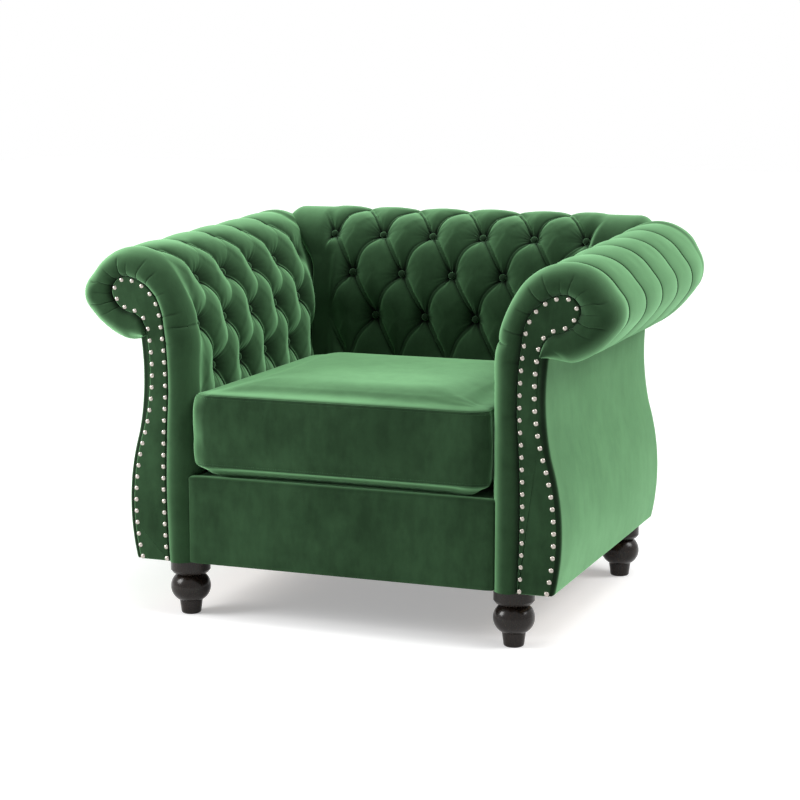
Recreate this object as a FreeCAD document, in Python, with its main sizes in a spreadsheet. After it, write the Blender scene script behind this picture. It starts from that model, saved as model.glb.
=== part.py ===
import FreeCAD
import Part
import math
import os
import re

Vector = FreeCAD.Vector
ACROSS = Vector(1, 0, 0)
BACKWARD = Vector(0, 1, 0)

# Driving dimensions in millimetres: what the armchair's maker would set
DRIVING = [
    ("seat_width", 566, "between the fullest points of the two arm pads"),
    ("arm_length", 682, "front facing to the rear end of an arm"),
    ("arm_width", 234.5, "inner face of an arm to the outermost point of its scroll"),
    ("arm_height", 683, "floor to the top of the scroll at the front"),
    ("arm_rise", 27, "how much higher the scroll ends at the rear"),
    ("neck_height", 511, "floor to the underside of the scroll"),
    ("scroll_top_reach", 122, "inner face of an arm to the highest point of its scroll"),
    ("shoulder_reach", 50, "inner face of an arm to the end of its long inner curve"),
    ("shoulder_drop", 36, "scroll top down to the end of the long inner curve"),
    ("scroll_padding", 24, "padding between the scroll's bent board and its outside"),
    ("former_wall", 4, "thickness of that bent board"),
    ("neck_width", 107, "inner face of an arm to its outer panel under the scroll"),
    ("waist_height", 345, "floor to where the outer panel turns from hollow to full"),
    ("waist_hollow", 8.5, "depth of the hollow curve above that height"),
    ("hip_fullness", 16, "depth of the full curve below that height"),
    ("arm_foot_width", 121, "inner face of an arm to its outer panel at the bottom"),
    ("pad_thickness", 39, "tufted padding on the arms and the back"),
    ("panel_wall", 3, "board behind the tufted padding"),
    ("outer_pad", 8, "padded outer panels of the arms and the back"),
    ("board_thickness", 22, "scroll-shaped boards at the ends of the arms and the back"),
    ("facing_thickness", 14, "nailed facing on the front of an arm"),
    ("facing_gap", 0.4, "clearance round that facing"),
    ("facing_inset", 11, "inner edge of the facing to the face of the board behind it"),
    ("border_swell", 10, "how far the padded border stands in front of the facing"),
    ("end_cover", 4, "cloth-covered panel at the rear end of an arm"),
    ("foot_height", 107, "floor to the underside of the upholstery"),
    ("foot_radius", 37, "top ring and bun of a foot"),
    ("foot_neck", 26, "radius of the groove between bun and ring"),
    ("foot_toe", 18.5, "radius of a foot where it stands"),
    ("front_foot_x", 317, "centre of a front foot from the middle of the chair"),
    ("front_foot_setback", 49, "front facing to the centre of a front foot"),
    ("rear_foot_x", 357, "centre of a rear foot from the middle of the chair"),
    ("rear_foot_inset", 68, "rear end of an arm to the centre of a rear foot"),
    ("rail_top", 250, "floor to the top of the seat rails"),
    ("rail_thickness", 24, "front and rear seat rails"),
    ("side_rail_thickness", 28, "side seat rails"),
    ("base_rail_width", 62, "bottom rails of the arms"),
    ("base_rail_height", 45, "bottom rails of the arms and the back"),
    ("slat_width", 20, "upper and middle rails of the arms and the back"),
    ("slat_height", 34, "upper and middle rails of the arms and the back"),
    ("block_side", 64, "short sides of a corner block"),
    ("block_height", 40, "height of a corner block"),
    ("deck_thickness", 11, "cloth and felt deck over the springs"),
    ("front_cover", 14, "padded cover of the front rail"),
    ("front_cover_top", 271, "floor to the top of the front rail's cover"),
    ("dust_cloth", 1.2, "cloth under the seat frame"),
    ("wire_radius", 1.9, "sinuous spring wire"),
    ("spring_width", 52, "overall width of one sinuous spring"),
    ("spring_spacing", 108, "from one spring to the next"),
    ("rear_wing", 124, "face of the back pad at seat level to the rear end of an arm"),
    ("back_lean", 18, "how far the back leans over its height"),
    ("back_lift", 21, "how much higher the back's scroll is than the arms'"),
    ("back_roll_width", 770, "length of the back's scroll"),
    ("back_extra_depth", 14, "how much deeper the back's frame is than an arm's"),
    ("cushion_width", 556, "seat cushion, side to side"),
    ("cushion_gap", 4, "behind the seat cushion, to the face of the back pad"),
    ("cushion_front", 10, "how far the cushion's front stands before the facings"),
    ("cushion_side", 129, "height of the cushion's side band between its seams"),
    ("cushion_crown", 25, "rise of the cushion's top above its upper seam"),
    ("cushion_belly", 25, "drop of the cushion's bottom below its lower seam"),
    ("cushion_corner", 45, "radius of the cushion's corners in plan"),
    ("cover_wall", 1.5, "cloth of the cushion's cover"),
    ("seam_pull", 3, "how far the seams draw in the cushion's sides"),
    ("clip_width", 14, "spring clips, along the rail"),
    ("clip_depth", 16, "spring clips, across the rail"),
    ("spring_pitch", 28, "wished distance between the bars of a spring"),
    ("bolt_head_radius", 8, "heads and nuts of the frame bolts"),
    ("bolt_head", 5, "thickness of those heads and nuts"),
    ("insert_radius", 7, "threaded inserts for the feet"),
    ("insert_length", 12, "threaded inserts for the feet"),
    ("foot_bolt_depth", 45, "how deep a foot's bolt sits in the foot"),
    ("arm_first_column", 73, "front facing to the first line of buttons"),
    ("arm_last_column", 25, "last line of buttons on an arm to the face of the back pad"),
    ("back_end_column", 13, "outermost line of buttons on the back to an arm pad"),
    ("tuft_depth", 19, "depth of a button's pit"),
    ("crease_depth", 10, "depth of a fold halfway between two buttons"),
    ("pit_width", 8, "flat bottom of a button's pit"),
    ("button_radius", 8, "covered buttons"),
    ("button_height", 6, "covered buttons"),
    ("button_stand", 8, "from the bottom of a pit to the underside of its button"),
    ("nail_radius", 4.6, "domed nail heads"),
    ("nail_dome", 2.6, "height of a nail head"),
    ("nail_shank", 0.8, "radius of a nail's shank"),
    ("nail_spacing", 21, "from one nail to the next"),
    ("nail_inset", 5, "nail line inside the facing's edge"),
    ("bolt_radius", 4, "bolts of the frame and the feet"),
    ("bolt_clearance", 0.1, "round each bolt and nut"),
    ("fit_gap", 0.3, "between soft pieces and their neighbours"),
]

# Planes and levels that follow from the driving dimensions
DERIVED = [
    ("back_setback", "= arm_length - rear_wing", "front facing to the face of the back pad"),
    ("front", "= border_swell - (border_swell + back_setback + arm_width + back_lean) / 2",
     "plane of the arm facings, with the whole chair centred front to back"),
    ("scroll_height", "= arm_height - neck_height", "height of an arm's scroll"),
    ("scroll_radius", "= scroll_height / 2 - scroll_padding", "bent board of the scroll, outside"),
    ("inner_face", "= seat_width / 2", "fullest line of an arm pad"),
    ("wood_face", "= inner_face + pad_thickness + panel_wall", "inner side of an arm's boards"),
    ("board_front", "= front + facing_thickness", "front side of an arm's front board"),
    ("arm_rear", "= front + arm_length", "rear end of an arm"),
    ("board_rear", "= arm_rear - end_cover", "rear side of an arm's rear board"),
    ("rails_front", "= board_front + board_thickness", "front end of an arm's rails"),
    ("rails_rear", "= board_rear - board_thickness", "rear end of an arm's rails"),
    ("back_face", "= front + back_setback", "face of the back pad at seat level"),
    ("arm_column_pitch", "= (back_setback - arm_first_column - arm_last_column) / 8",
     "from one line of buttons to the next, along an arm"),
    ("back_column_pitch", "= (seat_width / 2 - back_end_column) / 5",
     "from one line of buttons to the next, across the back"),
    ("back_wood", "= back_face + pad_thickness + panel_wall", "front of the back's boards"),
    ("seat_half", "= wood_face - side_rail_thickness", "inner side of a side seat rail"),
    ("wire_level", "= rail_top + fit_gap + wire_radius", "centre of the spring wire"),
    ("deck_bottom", "= wire_level + wire_radius + 2.7", "underside of the deck"),
    ("deck_top", "= deck_bottom + deck_thickness", "top of the deck"),
]

# Rows of buttons: pitch along the padding, as a share of the scroll's height
ARM_ROW_SHARE = 0.523
BACK_ROW_SHARE = 0.535
ARM_SECOND_ROW = 0.75     # height of the arm's second row over the flat face, in row pitches

# The padding round the scroll, as shares of the scroll's height
FACE_END = 0.18           # end of the flat face, below the scroll's underside
SHOULDER_BULGE = 0.093
CROWN_BULGE = 0.044
CHEEK_IN, CHEEK_DOWN, CHEEK_BULGE = 0.125, 0.285, 0.067
JAW_IN, JAW_UP, JAW_BULGE = 0.102, 0.2965, 0.105
CHIN_OUT, CHIN_BULGE = 0.105, 0.041
TOP_FOLLOWS = 0.85        # how much the shoulder and the cheek follow the rising top
JAW_FOLLOWS = 0.5

# Places of plain folds on the hidden part of the scroll, as shares of the padding's length
UNDER_ROLL = (0.7, 0.85)

# The facing's hook, as shares of the bent board's radius: (reach, height, bulge)
HOOK_NECK = (-0.065, 0.355)
HOOK_THROAT = (-0.226, -0.468, 0.081)
HOOK_TIP = (0.468, 0.097, -0.145)
HOOK_TOP = (-0.048, 0.597, -0.177)
HOOK_INNER = (0.113, -0.597, -0.29)
HOOK_SHANK = (0.016, 0.435, -0.097)
HOOK_FOOT_BULGE = 0.065

# The cushion: sections as (share of belly or crown, inset as a share of half its width)
BELLY_SECTIONS = ((1.0, 0.151), (0.72, 0.043))
CROWN_SECTIONS = ((0.42, 0.094), (0.8, 0.302), (1.0, 0.648))

doc = FreeCAD.newDocument("chesterfield_armchair")
sheet = doc.addObject("Spreadsheet::Sheet", "Sizes")


def fill_sheet():
    for line, (alias, value, meaning) in enumerate(DRIVING + DERIVED, start=1):
        sheet.set("A%d" % line, alias)
        sheet.set("B%d" % line, str(value))
        sheet.set("C%d" % line, meaning)
        sheet.setAlias("B%d" % line, alias)
    doc.recompute()


fill_sheet()


def size(alias):
    return float(getattr(sheet, alias))


def bind(item, **formulas):
    """Bind properties to the sheet: a formula names the sheet's aliases plainly."""
    for name, formula in formulas.items():
        bound = re.sub(r"[a-z]\w+", r"Sizes.\g<0>", formula)
        item.setExpression(name.replace("__", "."), bound)


def place(item, x="0", y="0", z="0"):
    bind(item, Placement__Base__x=x, Placement__Base__y=y, Placement__Base__z=z)


def board(label, low, extent):
    """A plain rail or sheet, given by its low corner and its three extents."""
    item = doc.addObject("Part::Box", label)
    item.Label = label
    bind(item, Length=extent[0], Width=extent[1], Height=extent[2])
    place(item, *low)
    return item


PLANES = {"XZ_Plane": (0, 2), "YZ_Plane": (1, 2), "XY_Plane": (0, 1)}


def body(label):
    item = doc.addObject("PartDesign::Body", label)
    item.Label = label
    return item


def sketch(owner, role, edges, offset="0", name="Outline"):
    """A sketch of edges drawn in space, on an origin plane of its body."""
    item = owner.newObject("Sketcher::SketchObject", owner.Name + name)
    plane = next(feature for feature in owner.Origin.OriginFeatures if feature.Role == role)
    item.AttachmentSupport = [(plane, "")]
    item.MapMode = "FlatFace"
    first, second = PLANES[role]
    turned = {"XZ_Plane": FreeCAD.Rotation(ACROSS, -90),
              "YZ_Plane": FreeCAD.Rotation(Vector(-1, -1, -1), 120),
              "XY_Plane": FreeCAD.Rotation()}[role]
    flat = FreeCAD.Placement(Vector(), turned)
    for edge in edges:
        moved = edge.copy()
        moved.transformShape(flat.toMatrix())
        curve = moved.Curve
        low, high = moved.ParameterRange
        if isinstance(curve, Part.Line):
            item.addGeometry(Part.LineSegment(moved.valueAt(low), moved.valueAt(high)))
        elif abs(high - low) > 6.28:
            item.addGeometry(curve)
        else:
            middle = moved.valueAt((low + high) / 2)
            item.addGeometry(Part.Arc(moved.valueAt(low), middle, moved.valueAt(high)))
    bind(item, AttachmentOffset__Base__z=offset)
    return item


def padded(label, role, edges, offset, thickness, middle=False):
    """A flat or straight piece: a sketch and a pad, from the offset towards + of the axis."""
    owner = body(label)
    outline = sketch(owner, role, edges, offset if role != "XZ_Plane" else "-(" + offset + ")")
    pad = owner.newObject("PartDesign::Pad", owner.Name + "Pad")
    pad.Profile = outline
    pad.Reversed = role == "XZ_Plane"
    pad.Midplane = middle
    bind(pad, Length=thickness)
    return owner


def turned(label, edges, x, y, z="0"):
    """A turned piece: a sketch revolved about the upright axis and set in place."""
    owner = body(label)
    outline = sketch(owner, "XZ_Plane", edges)
    lathe = owner.newObject("PartDesign::Revolution", owner.Name + "Turned")
    lathe.Profile = outline
    lathe.ReferenceAxis = (outline, ["V_Axis"])
    lathe.Angle = 360
    place(owner, x, y, z)
    return owner


def solid(label, shape):
    """A piece whose shape is worked out from the sheet by this script."""
    item = doc.addObject("Part::Feature", label)
    item.Label = label
    item.Shape = shape
    item.Placement = FreeCAD.Placement()
    return item


def drilled(label, blank, holes):
    """A rail with its bolt holes, cut by a Part::Cut from the plain rail."""
    tool = doc.addObject("Part::Feature", label + "_holes")
    tool.Shape = Part.makeCompound(holes)
    item = doc.addObject("Part::Cut", label)
    item.Label = label
    item.Base = blank
    item.Tool = tool
    return item


def mirrored(shape):
    return shape.mirror(Vector(0, 0, 0), ACROSS)


# Outlines as chains of lines and arcs, each point a pair (reach, height)

def bulged(start, end, bulge):
    """Through-point of an arc that stands off its chord by the bulge, to the left."""
    along = (end[0] - start[0], end[1] - start[1])
    length = math.hypot(*along)
    return ((start[0] + end[0]) / 2 - along[1] / length * bulge,
            (start[1] + end[1]) / 2 + along[0] / length * bulge)


def chain(points, to_space):
    """Edges through points; a step is (point) or (point, bulge) from the point before."""
    edges = []
    start = points[0]
    for step in points[1:]:
        end, bulge = step if isinstance(step[0], tuple) else (step, 0)
        if abs(bulge) < 0.01:
            edges.append(Part.makeLine(to_space(*start), to_space(*end)))
        else:
            middle = bulged(start, end, bulge)
            arc = Part.Arc(to_space(*start), to_space(*middle), to_space(*end))
            edges.append(arc.toShape())
        start = end
    return edges


def in_front_view(x0, y, side=1):
    return lambda reach, height: Vector(side * (x0 + reach), y, height)


def in_side_view(x, y0):
    return lambda reach, height: Vector(x, y0 + reach, height)


def scroll_centre(lean=0, lift=0):
    neck = size("neck_height")
    middle = neck + (size("arm_height") - neck) / 2 - 2
    return size("scroll_top_reach") + 10 + lean, middle + lift


def lean_at(height, lean, lift):
    """How far the leaning inner edge of a board has moved at a height."""
    cz = scroll_centre(lean, lift)[1]
    rise = cz - size("scroll_radius") / 2 - size("foot_height")
    return lean * (height - size("foot_height")) / rise


def outer_curve(lean=0, lift=0, inset=0):
    """The S-shaped outer side: neck, waist and bottom. A leaning board is the back's."""
    extra = size("back_extra_depth") if lean else 0
    neck = (size("neck_width") - inset + lean + extra, size("neck_height") + 5 + lift)
    waist = (size("neck_width") + 6 - inset + lean / 2 + extra, size("waist_height"))
    foot = (size("arm_foot_width") - inset + extra, size("foot_height"))
    return neck, waist, foot


def board_outline(lean=0, lift=0):
    """Scroll-shaped end board: straight inner edge, round head, S-shaped outer edge."""
    inner = size("pad_thickness") + size("panel_wall")
    bottom = size("foot_height")
    cx, cz = scroll_centre(lean, lift)
    radius = size("scroll_radius") - size("former_wall")
    dent = radius * (1 - math.sqrt(0.5))
    neck, waist, foot = outer_curve(lean, lift, size("outer_pad"))
    return [
        (inner, bottom),
        (inner + lean, cz - size("scroll_radius") / 2),
        (cx - radius, cz),
        ((cx, cz + radius), dent),
        ((cx + radius, cz), dent),
        ((cx, cz - radius), dent),
        neck,
        (waist, -size("waist_hollow")),
        (foot, size("hip_fullness")),
        (inner, bottom),
    ]


def former_outline(lean=0, lift=0):
    """Section of the bent board round the scroll, from its inner side to its underside."""
    cx, cz = scroll_centre(lean, lift)
    outside = size("scroll_radius")
    inside = outside - size("former_wall")
    out_dent = outside * (1 - math.sqrt(0.5))
    in_dent = inside * (1 - math.sqrt(0.5))
    return [
        (cx - outside, cz),
        ((cx, cz + outside), out_dent),
        ((cx + outside, cz), out_dent),
        ((cx, cz - outside), out_dent),
        (cx, cz - inside),
        ((cx + inside, cz), -in_dent),
        ((cx, cz + inside), -in_dent),
        ((cx - inside, cz), -in_dent),
        (cx - outside, cz),
    ]


def outer_panel_outline(lean=0, lift=0):
    """Section of an outer panel, padded on a thin board."""
    neck, waist, foot = outer_curve(lean, lift)
    inner_neck, inner_waist, inner_foot = outer_curve(lean, lift, size("outer_pad"))
    return [
        inner_foot,
        (inner_waist, -size("hip_fullness")),
        (inner_neck, size("waist_hollow")),
        neck,
        (waist, -size("waist_hollow")),
        (foot, size("hip_fullness")),
        inner_foot,
    ]


# The outside of the tufted padding, and the folds sunk in it

def padding_outline(bottom, lean=0, lift=0, neck_lift=0):
    """Fullest outside of the padding, up the face, over the scroll and under it."""
    scroll = size("scroll_height")
    top = size("arm_height")
    reach = size("scroll_top_reach") + lean
    width = size("arm_width") + lean
    neck = size("neck_height") + neck_lift
    step = lift - neck_lift
    upper = top + neck_lift + TOP_FOLLOWS * step
    jaw = neck + JAW_UP * scroll + JAW_FOLLOWS * step
    return [
        (0, bottom),
        (lean, neck - FACE_END * scroll),
        ((size("shoulder_reach") + lean, upper - size("shoulder_drop")), SHOULDER_BULGE * scroll),
        ((reach, top + lift), CROWN_BULGE * scroll),
        ((width - CHEEK_IN * scroll, upper - CHEEK_DOWN * scroll), CHEEK_BULGE * scroll),
        ((width - JAW_IN * scroll, jaw), JAW_BULGE * scroll),
        ((reach + CHIN_OUT * scroll, neck), CHIN_BULGE * scroll),
    ]


class Padding:
    """A walk along a padding outline by length, with the depth under its outside."""

    def __init__(self, outline):
        self.edges = chain(outline, lambda reach, height: Vector(reach, 0, height))
        self.start = -self.edges[0].Length
        self.end = sum(edge.Length for edge in self.edges[1:])

    def at(self, along, depth):
        left = along - self.start
        for edge in self.edges:
            if left <= edge.Length or edge is self.edges[-1]:
                break
            left -= edge.Length
        parameter = edge.getParameterByLength(max(0, min(left, edge.Length)))
        tangent = edge.tangentAt(parameter)
        point = edge.valueAt(parameter)
        inward = Vector(tangent.z, 0, -tangent.x)
        point = point + inward * depth
        return point.x, point.z


def inner_outline(lean=0, lift=0, bottom=0):
    """Hidden side of the padding, back along the bent board and the flat panel."""
    cx, cz = scroll_centre(lean, lift)
    radius = size("scroll_radius") + size("fit_gap")
    dent = radius * (1 - math.sqrt(0.5))
    flat = size("pad_thickness") - size("fit_gap")
    return [
        (cx, cz - radius),
        ((cx + radius, cz), -dent),
        ((cx, cz + radius), -dent),
        ((cx - radius, cz), -dent),
        (flat + lean, cz - size("scroll_radius") / 2 + 4),
        (flat + lean_at(bottom, lean, lift), bottom),
    ]


def section_wire(padding, stops, middles, closing, to_space):
    """Closed section: an arc from each stop (along, depth) to the next, then straight back.

    middles gives the depth halfway along each arc; None takes the mean of its two stops.
    """
    edges = []
    for count, (here, there) in enumerate(zip(stops[:-1], stops[1:])):
        depth = middles[count] if middles else (here[1] + there[1]) / 2
        middle = padding.at((here[0] + there[0]) / 2, depth)
        edges.append(arc_through(to_space(*padding.at(*here)), to_space(*middle),
                                 to_space(*padding.at(*there))))
    edges += chain([padding.at(*stops[-1])] + closing + [padding.at(*stops[0])], to_space)
    return Part.Wire(edges)


def tuft_section(outline, hidden, rows, turn, depth, to_space):
    """One section of tufted padding.

    turn is 0 on a line through the first and third rows and 1 on a line through the second
    and fourth; between them the folds run across. depth scales every pit and fold.
    """
    padding = Padding(outline)
    half = size("pit_width") / 2
    pit = size("tuft_depth") * depth
    fold = pit - (size("tuft_depth") - size("crease_depth")) * depth * math.sin(math.pi * turn)
    first, second, third, fourth = rows
    pitch = second - first

    def moving(start, end):
        return start + (end - start) * turn

    pleat = fold * turn ** 2
    stops = [
        (padding.start, 0),
        (moving(first - half, first - pitch + half), fold),
        (moving(first + half, second - half), fold),
        (moving(third - half, second + half), fold),
        (moving(third + half, fourth - half), fold),
        (fourth + half, pleat),
    ]
    stops += [(padding.end * share, pleat * 0.8) for share in UNDER_ROLL]
    stops.append((padding.end, 0))
    middles = []
    for (here, here_depth), (there, there_depth) in zip(stops[:-1], stops[1:]):
        share = min(1, (there - here) / (2 * pitch))
        middle_depth = max(here_depth, there_depth) * (1 - math.sin(share * math.pi / 2))
        if here >= fourth:
            middle_depth = (here_depth + there_depth) / 2
        middles.append(middle_depth)
    return section_wire(padding, stops, middles, hidden, to_space)


def arc_through(start, middle, end):
    chord = end - start
    rise = (middle - start).cross(chord).Length / chord.Length
    if rise < 0.02:
        return Part.makeLine(start, end)
    return Part.Arc(start, middle, end).toShape()


def tufted_columns(stations):
    """Stations (place, turn, depth), with two more between each neighbouring pair."""
    dense = []
    for here, there in zip(stations[:-1], stations[1:]):
        for share in (0, 1 / 3, 2 / 3):
            dense.append(tuple(a + (b - a) * share for a, b in zip(here, there)))
    dense.append(stations[-1])
    return dense


# Arms

def arm_lift(y):
    """Rise of the scroll's top at a place along the arm."""
    return size("arm_rise") * (y - size("front")) / size("arm_length")


def arm_rows():
    pitch = ARM_ROW_SHARE * size("scroll_height")
    second = pitch * ARM_SECOND_ROW
    return second - pitch, second, second + pitch, second + 2 * pitch


def arm_columns():
    first = size("front") + size("arm_first_column")
    pitch = size("arm_column_pitch")
    return [(first + pitch * count, 1 - count % 2) for count in range(9)]


def arm_pad():
    x0 = size("inner_face")
    bottom = size("deck_top") + size("fit_gap")
    start = size("board_front") + size("fit_gap")
    end = size("board_rear")
    columns = [(y, turn, 1) for y, turn in arm_columns()]
    squeeze = columns[-1][0] + size("arm_column_pitch") / 2
    stations = [(start, 1, 0.05)] + columns
    wires = []
    for y, turn, depth in tufted_columns(stations):
        wires.append(arm_pad_wire(y, turn, depth, x0, bottom))
    for y in (squeeze, end - size("outer_pad"), end):
        wires.append(squeezed_wire(y, x0, bottom))
    return Part.makeLoft(wires, True, True)


def arm_pad_wire(y, turn, depth, x0, bottom):
    outline = padding_outline(bottom, lift=arm_lift(y))
    hidden = inner_outline(bottom=bottom)
    return tuft_section(outline, hidden, arm_rows(), turn, depth, in_front_view(x0, y))


def squeezed_wire(y, x0, bottom):
    """Plain section where the padding is pressed in beside the back."""
    padding = Padding(padding_outline(bottom, lift=arm_lift(y)))
    rows = arm_rows()
    pitch = rows[1] - rows[0]
    half = size("pit_width") / 2
    pressed = size("tuft_depth") - 1
    stops = [(padding.start, pressed), (rows[0] - pitch + half, pressed), (rows[1] - half, pressed),
             (rows[1] + half, pressed), (rows[3] - half, pressed / 3), (rows[3] + half, pressed / 4)]
    stops += [(padding.end * share, pressed / 5) for share in UNDER_ROLL]
    stops.append((padding.end, 0))
    return section_wire(padding, stops, None, inner_outline(bottom=bottom), in_front_view(x0, y))


def facing_outline():
    """Nailed facing: the S shape of the arm with the scroll's hook at its head."""
    bottom = size("foot_height")
    radius = size("scroll_radius")
    neck, waist, foot = outer_curve(inset=size("outer_pad") + 1)
    cx, cz = scroll_centre()
    inner = size("pad_thickness") + size("panel_wall") + size("facing_inset")

    def hooked(origin, step):
        return origin[0] + step[0] * radius, origin[1] + step[1] * radius

    centre = (cx, cz)
    return [
        foot,
        (waist, -size("hip_fullness")),
        (hooked(neck, HOOK_NECK), 1.35 * size("waist_hollow")),
        (hooked(centre, HOOK_THROAT), HOOK_THROAT[2] * radius),
        (hooked(centre, HOOK_TIP), HOOK_TIP[2] * radius),
        (hooked(centre, HOOK_TOP), HOOK_TOP[2] * radius),
        (hooked((inner, cz), HOOK_INNER), HOOK_INNER[2] * radius),
        (hooked((inner, waist[1]), HOOK_SHANK), HOOK_SHANK[2] * radius),
        ((inner, bottom), HOOK_FOOT_BULGE * radius),
        foot,
    ]


def facing_face(y, grow=0):
    wire = Part.Wire(chain(facing_outline(), in_front_view(size("inner_face"), y)))
    if grow:
        return Part.Face(wire.makeOffset2D(grow, 0))
    return Part.Face(wire)


def nail_places():
    """Nail centres along the facing's edge, from foot to foot round the hook."""
    inset = facing_face(size("front"), -size("nail_inset")).OuterWire
    open_edges = [edge for edge in inset.Edges
                  if edge.BoundBox.ZMax > size("foot_height") + size("nail_inset") + 1]
    path = Part.Wire(Part.__sortEdges__(open_edges))
    count = int(path.Length / size("nail_spacing"))
    return path.discretize(Number=count)


def arm_facing(places):
    shape = facing_face(size("front")).extrude(BACKWARD * size("facing_thickness"))
    radius = size("nail_shank") + size("bolt_clearance")
    holes = [Part.makeCylinder(radius, size("facing_thickness"), point, BACKWARD) for point in places]
    return shape.cut(Part.makeCompound(holes))


def nail(point):
    """Domed head on the facing with a shank through it."""
    dome = size("nail_dome")
    radius = size("nail_radius")
    ball = (radius ** 2 + dome ** 2) / (2 * dome)
    sphere = Part.makeSphere(ball, point + BACKWARD * (ball - dome))
    front_half = Part.makeCylinder(radius * 2, dome * 2, point - BACKWARD * dome * 2, BACKWARD)
    head = sphere.common(front_half)
    shank = Part.makeCylinder(size("nail_shank"), size("facing_thickness") - 1, point, BACKWARD)
    return head.fuse(shank)


def arm_border():
    """Padded border round the facing, swelling forward and rounded at its edge."""
    swell = size("border_swell")
    padding = Padding(padding_outline(size("foot_height")))
    behind = size("neck_width") - size("outer_pad")
    closing = [(behind - swell, size("neck_height") + 4 * swell),
               (behind - 3 * swell, size("waist_height")),
               (behind - 3 * swell, size("foot_height"))]
    wires = []
    for step, inset in ((0, 0), (0.55, 0.15 * swell), (0.85, 0.5 * swell), (1, 1.3 * swell)):
        y = size("board_front") - step * (size("facing_thickness") + swell)
        places = [padding.start] + [padding.end * share for share in (0, 0.2, 0.35, 0.5, 0.65, 0.8, 1)]
        stops = [(place, inset) for place in places]
        wires.append(section_wire(padding, stops, None, closing, in_front_view(size("inner_face"), y)))
    shape = Part.makeLoft(wires, True, True)
    reach = size("facing_thickness") + 3 * swell
    hole = facing_face(size("board_front") + 1, size("facing_gap")).extrude(-BACKWARD * reach)
    rest = shape.cut(hole)
    return max(rest.Solids, key=lambda piece: piece.Volume)


def arm_piece(name, outline, offset, thickness):
    """A piece with one outline along the arm, on both sides of the chair."""
    for label, side in (("right", 1), ("left", -1)):
        edges = chain(outline, in_front_view(size("inner_face"), 0, side))
        padded(name + "_" + label, "XZ_Plane", edges, offset, thickness)


def button(point, inward, pit):
    """Covered button: a domed head and a short shank drawn into the padding."""
    radius = size("button_radius")
    height = size("button_height")
    stand = size("button_stand")
    base = point + inward * (pit - stand)
    head = Part.makeCylinder(radius, height * 0.4, base, -inward)
    ball = (radius ** 2 + (height * 0.6) ** 2) / (1.2 * height)
    rise = base - inward * height * 0.4
    sphere = Part.makeSphere(ball, rise + inward * (ball - height * 0.6))
    cap = sphere.common(Part.makeCylinder(radius, height, rise, -inward))
    shank = Part.makeCylinder(2, stand * 0.6, base, inward)
    return head.fuse([cap, shank]).removeSplitter()


def arm_buttons():
    shapes = []
    rows = arm_rows()
    for y, turn in arm_columns():
        padding = Padding(padding_outline(size("deck_top"), lift=arm_lift(y)))
        chosen = (rows[1],) if turn else (rows[0], rows[2])
        for along in chosen:
            shapes.append(button_on(padding, along, in_front_view(size("inner_face"), y)))
    return Part.makeCompound(shapes)


def button_on(padding, along, to_space):
    point = to_space(*padding.at(along, 0))
    inward = to_space(*padding.at(along, 1)) - point
    return button(point, inward, size("tuft_depth"))


def both_sides(name, shape):
    solid(name + "_right", shape)
    solid(name + "_left", mirrored(shape))


def make_arms():
    arm_piece("arm_front_board", board_outline(), "board_front", "board_thickness")
    arm_piece("arm_rear_board", board_outline(), "rails_rear", "board_thickness")
    arm_piece("arm_rear_cover", board_outline(), "board_rear", "end_cover")
    arm_piece("arm_scroll_former", former_outline(), "board_front", "board_rear - board_front")
    arm_piece("arm_outer_panel", outer_panel_outline(), "front", "board_rear - front")
    both_sides("arm_pad", arm_pad())
    both_sides("arm_border", arm_border())
    places = nail_places()
    both_sides("arm_facing", arm_facing(places))
    both_sides("arm_nails", Part.makeCompound([nail(point) for point in places]))
    both_sides("arm_buttons", arm_buttons())
    length = "rails_rear - rails_front"
    for side, low_x in (("right", "wood_face"), ("left", "-wood_face - slat_width")):
        for name, level in (("upper", "neck_height - slat_height + 5"), ("seat", "deck_top")):
            board("arm_%s_rail_%s" % (name, side), (low_x, "rails_front", level),
                  ("slat_width", length, "slat_height"))
    for side, low_x in (("right", "inner_face + pad_thickness"), ("left", "-wood_face")):
        panel_height = "neck_height + 40 - deck_top"
        board("arm_inner_panel_" + side, (low_x, "board_front", "deck_top"),
              ("panel_wall", "board_rear - board_front", panel_height))


# Back

def back_rows():
    pitch = BACK_ROW_SHARE * size("scroll_height")
    return 0, pitch, 2 * pitch, 3 * pitch


def back_bottom():
    """Bottom of the back's padding, clear of the deck where it is pressed in."""
    return size("deck_top") + size("fit_gap") + 2


def back_outline():
    """Fullest outside of the back's padding."""
    return padding_outline(back_bottom(), size("back_lean"), size("back_lift"), size("back_lift"))


def back_hidden():
    return inner_outline(size("back_lean"), size("back_lift"), back_bottom())


def back_pad_wire(x, turn, depth):
    to_space = in_side_view(x, size("back_face"))
    return tuft_section(back_outline(), back_hidden(), back_rows(), turn, depth, to_space)


def back_columns():
    pitch = size("back_column_pitch")
    return [(pitch * count, 1 - count % 2) for count in range(-5, 6)]


def back_pad():
    """Tufted between the arms; plain scroll ends reach out behind the arms."""
    edge = size("inner_face") + size("tuft_depth") - 3
    columns = [(x, turn, 1) for x, turn in back_columns()]
    wires = [back_pad_wire(x, turn, depth) for x, turn, depth in tufted_columns(columns)]
    return Part.makeLoft([back_pad_end_wire(-edge)] + wires + [back_pad_end_wire(edge)], True, True)


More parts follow.
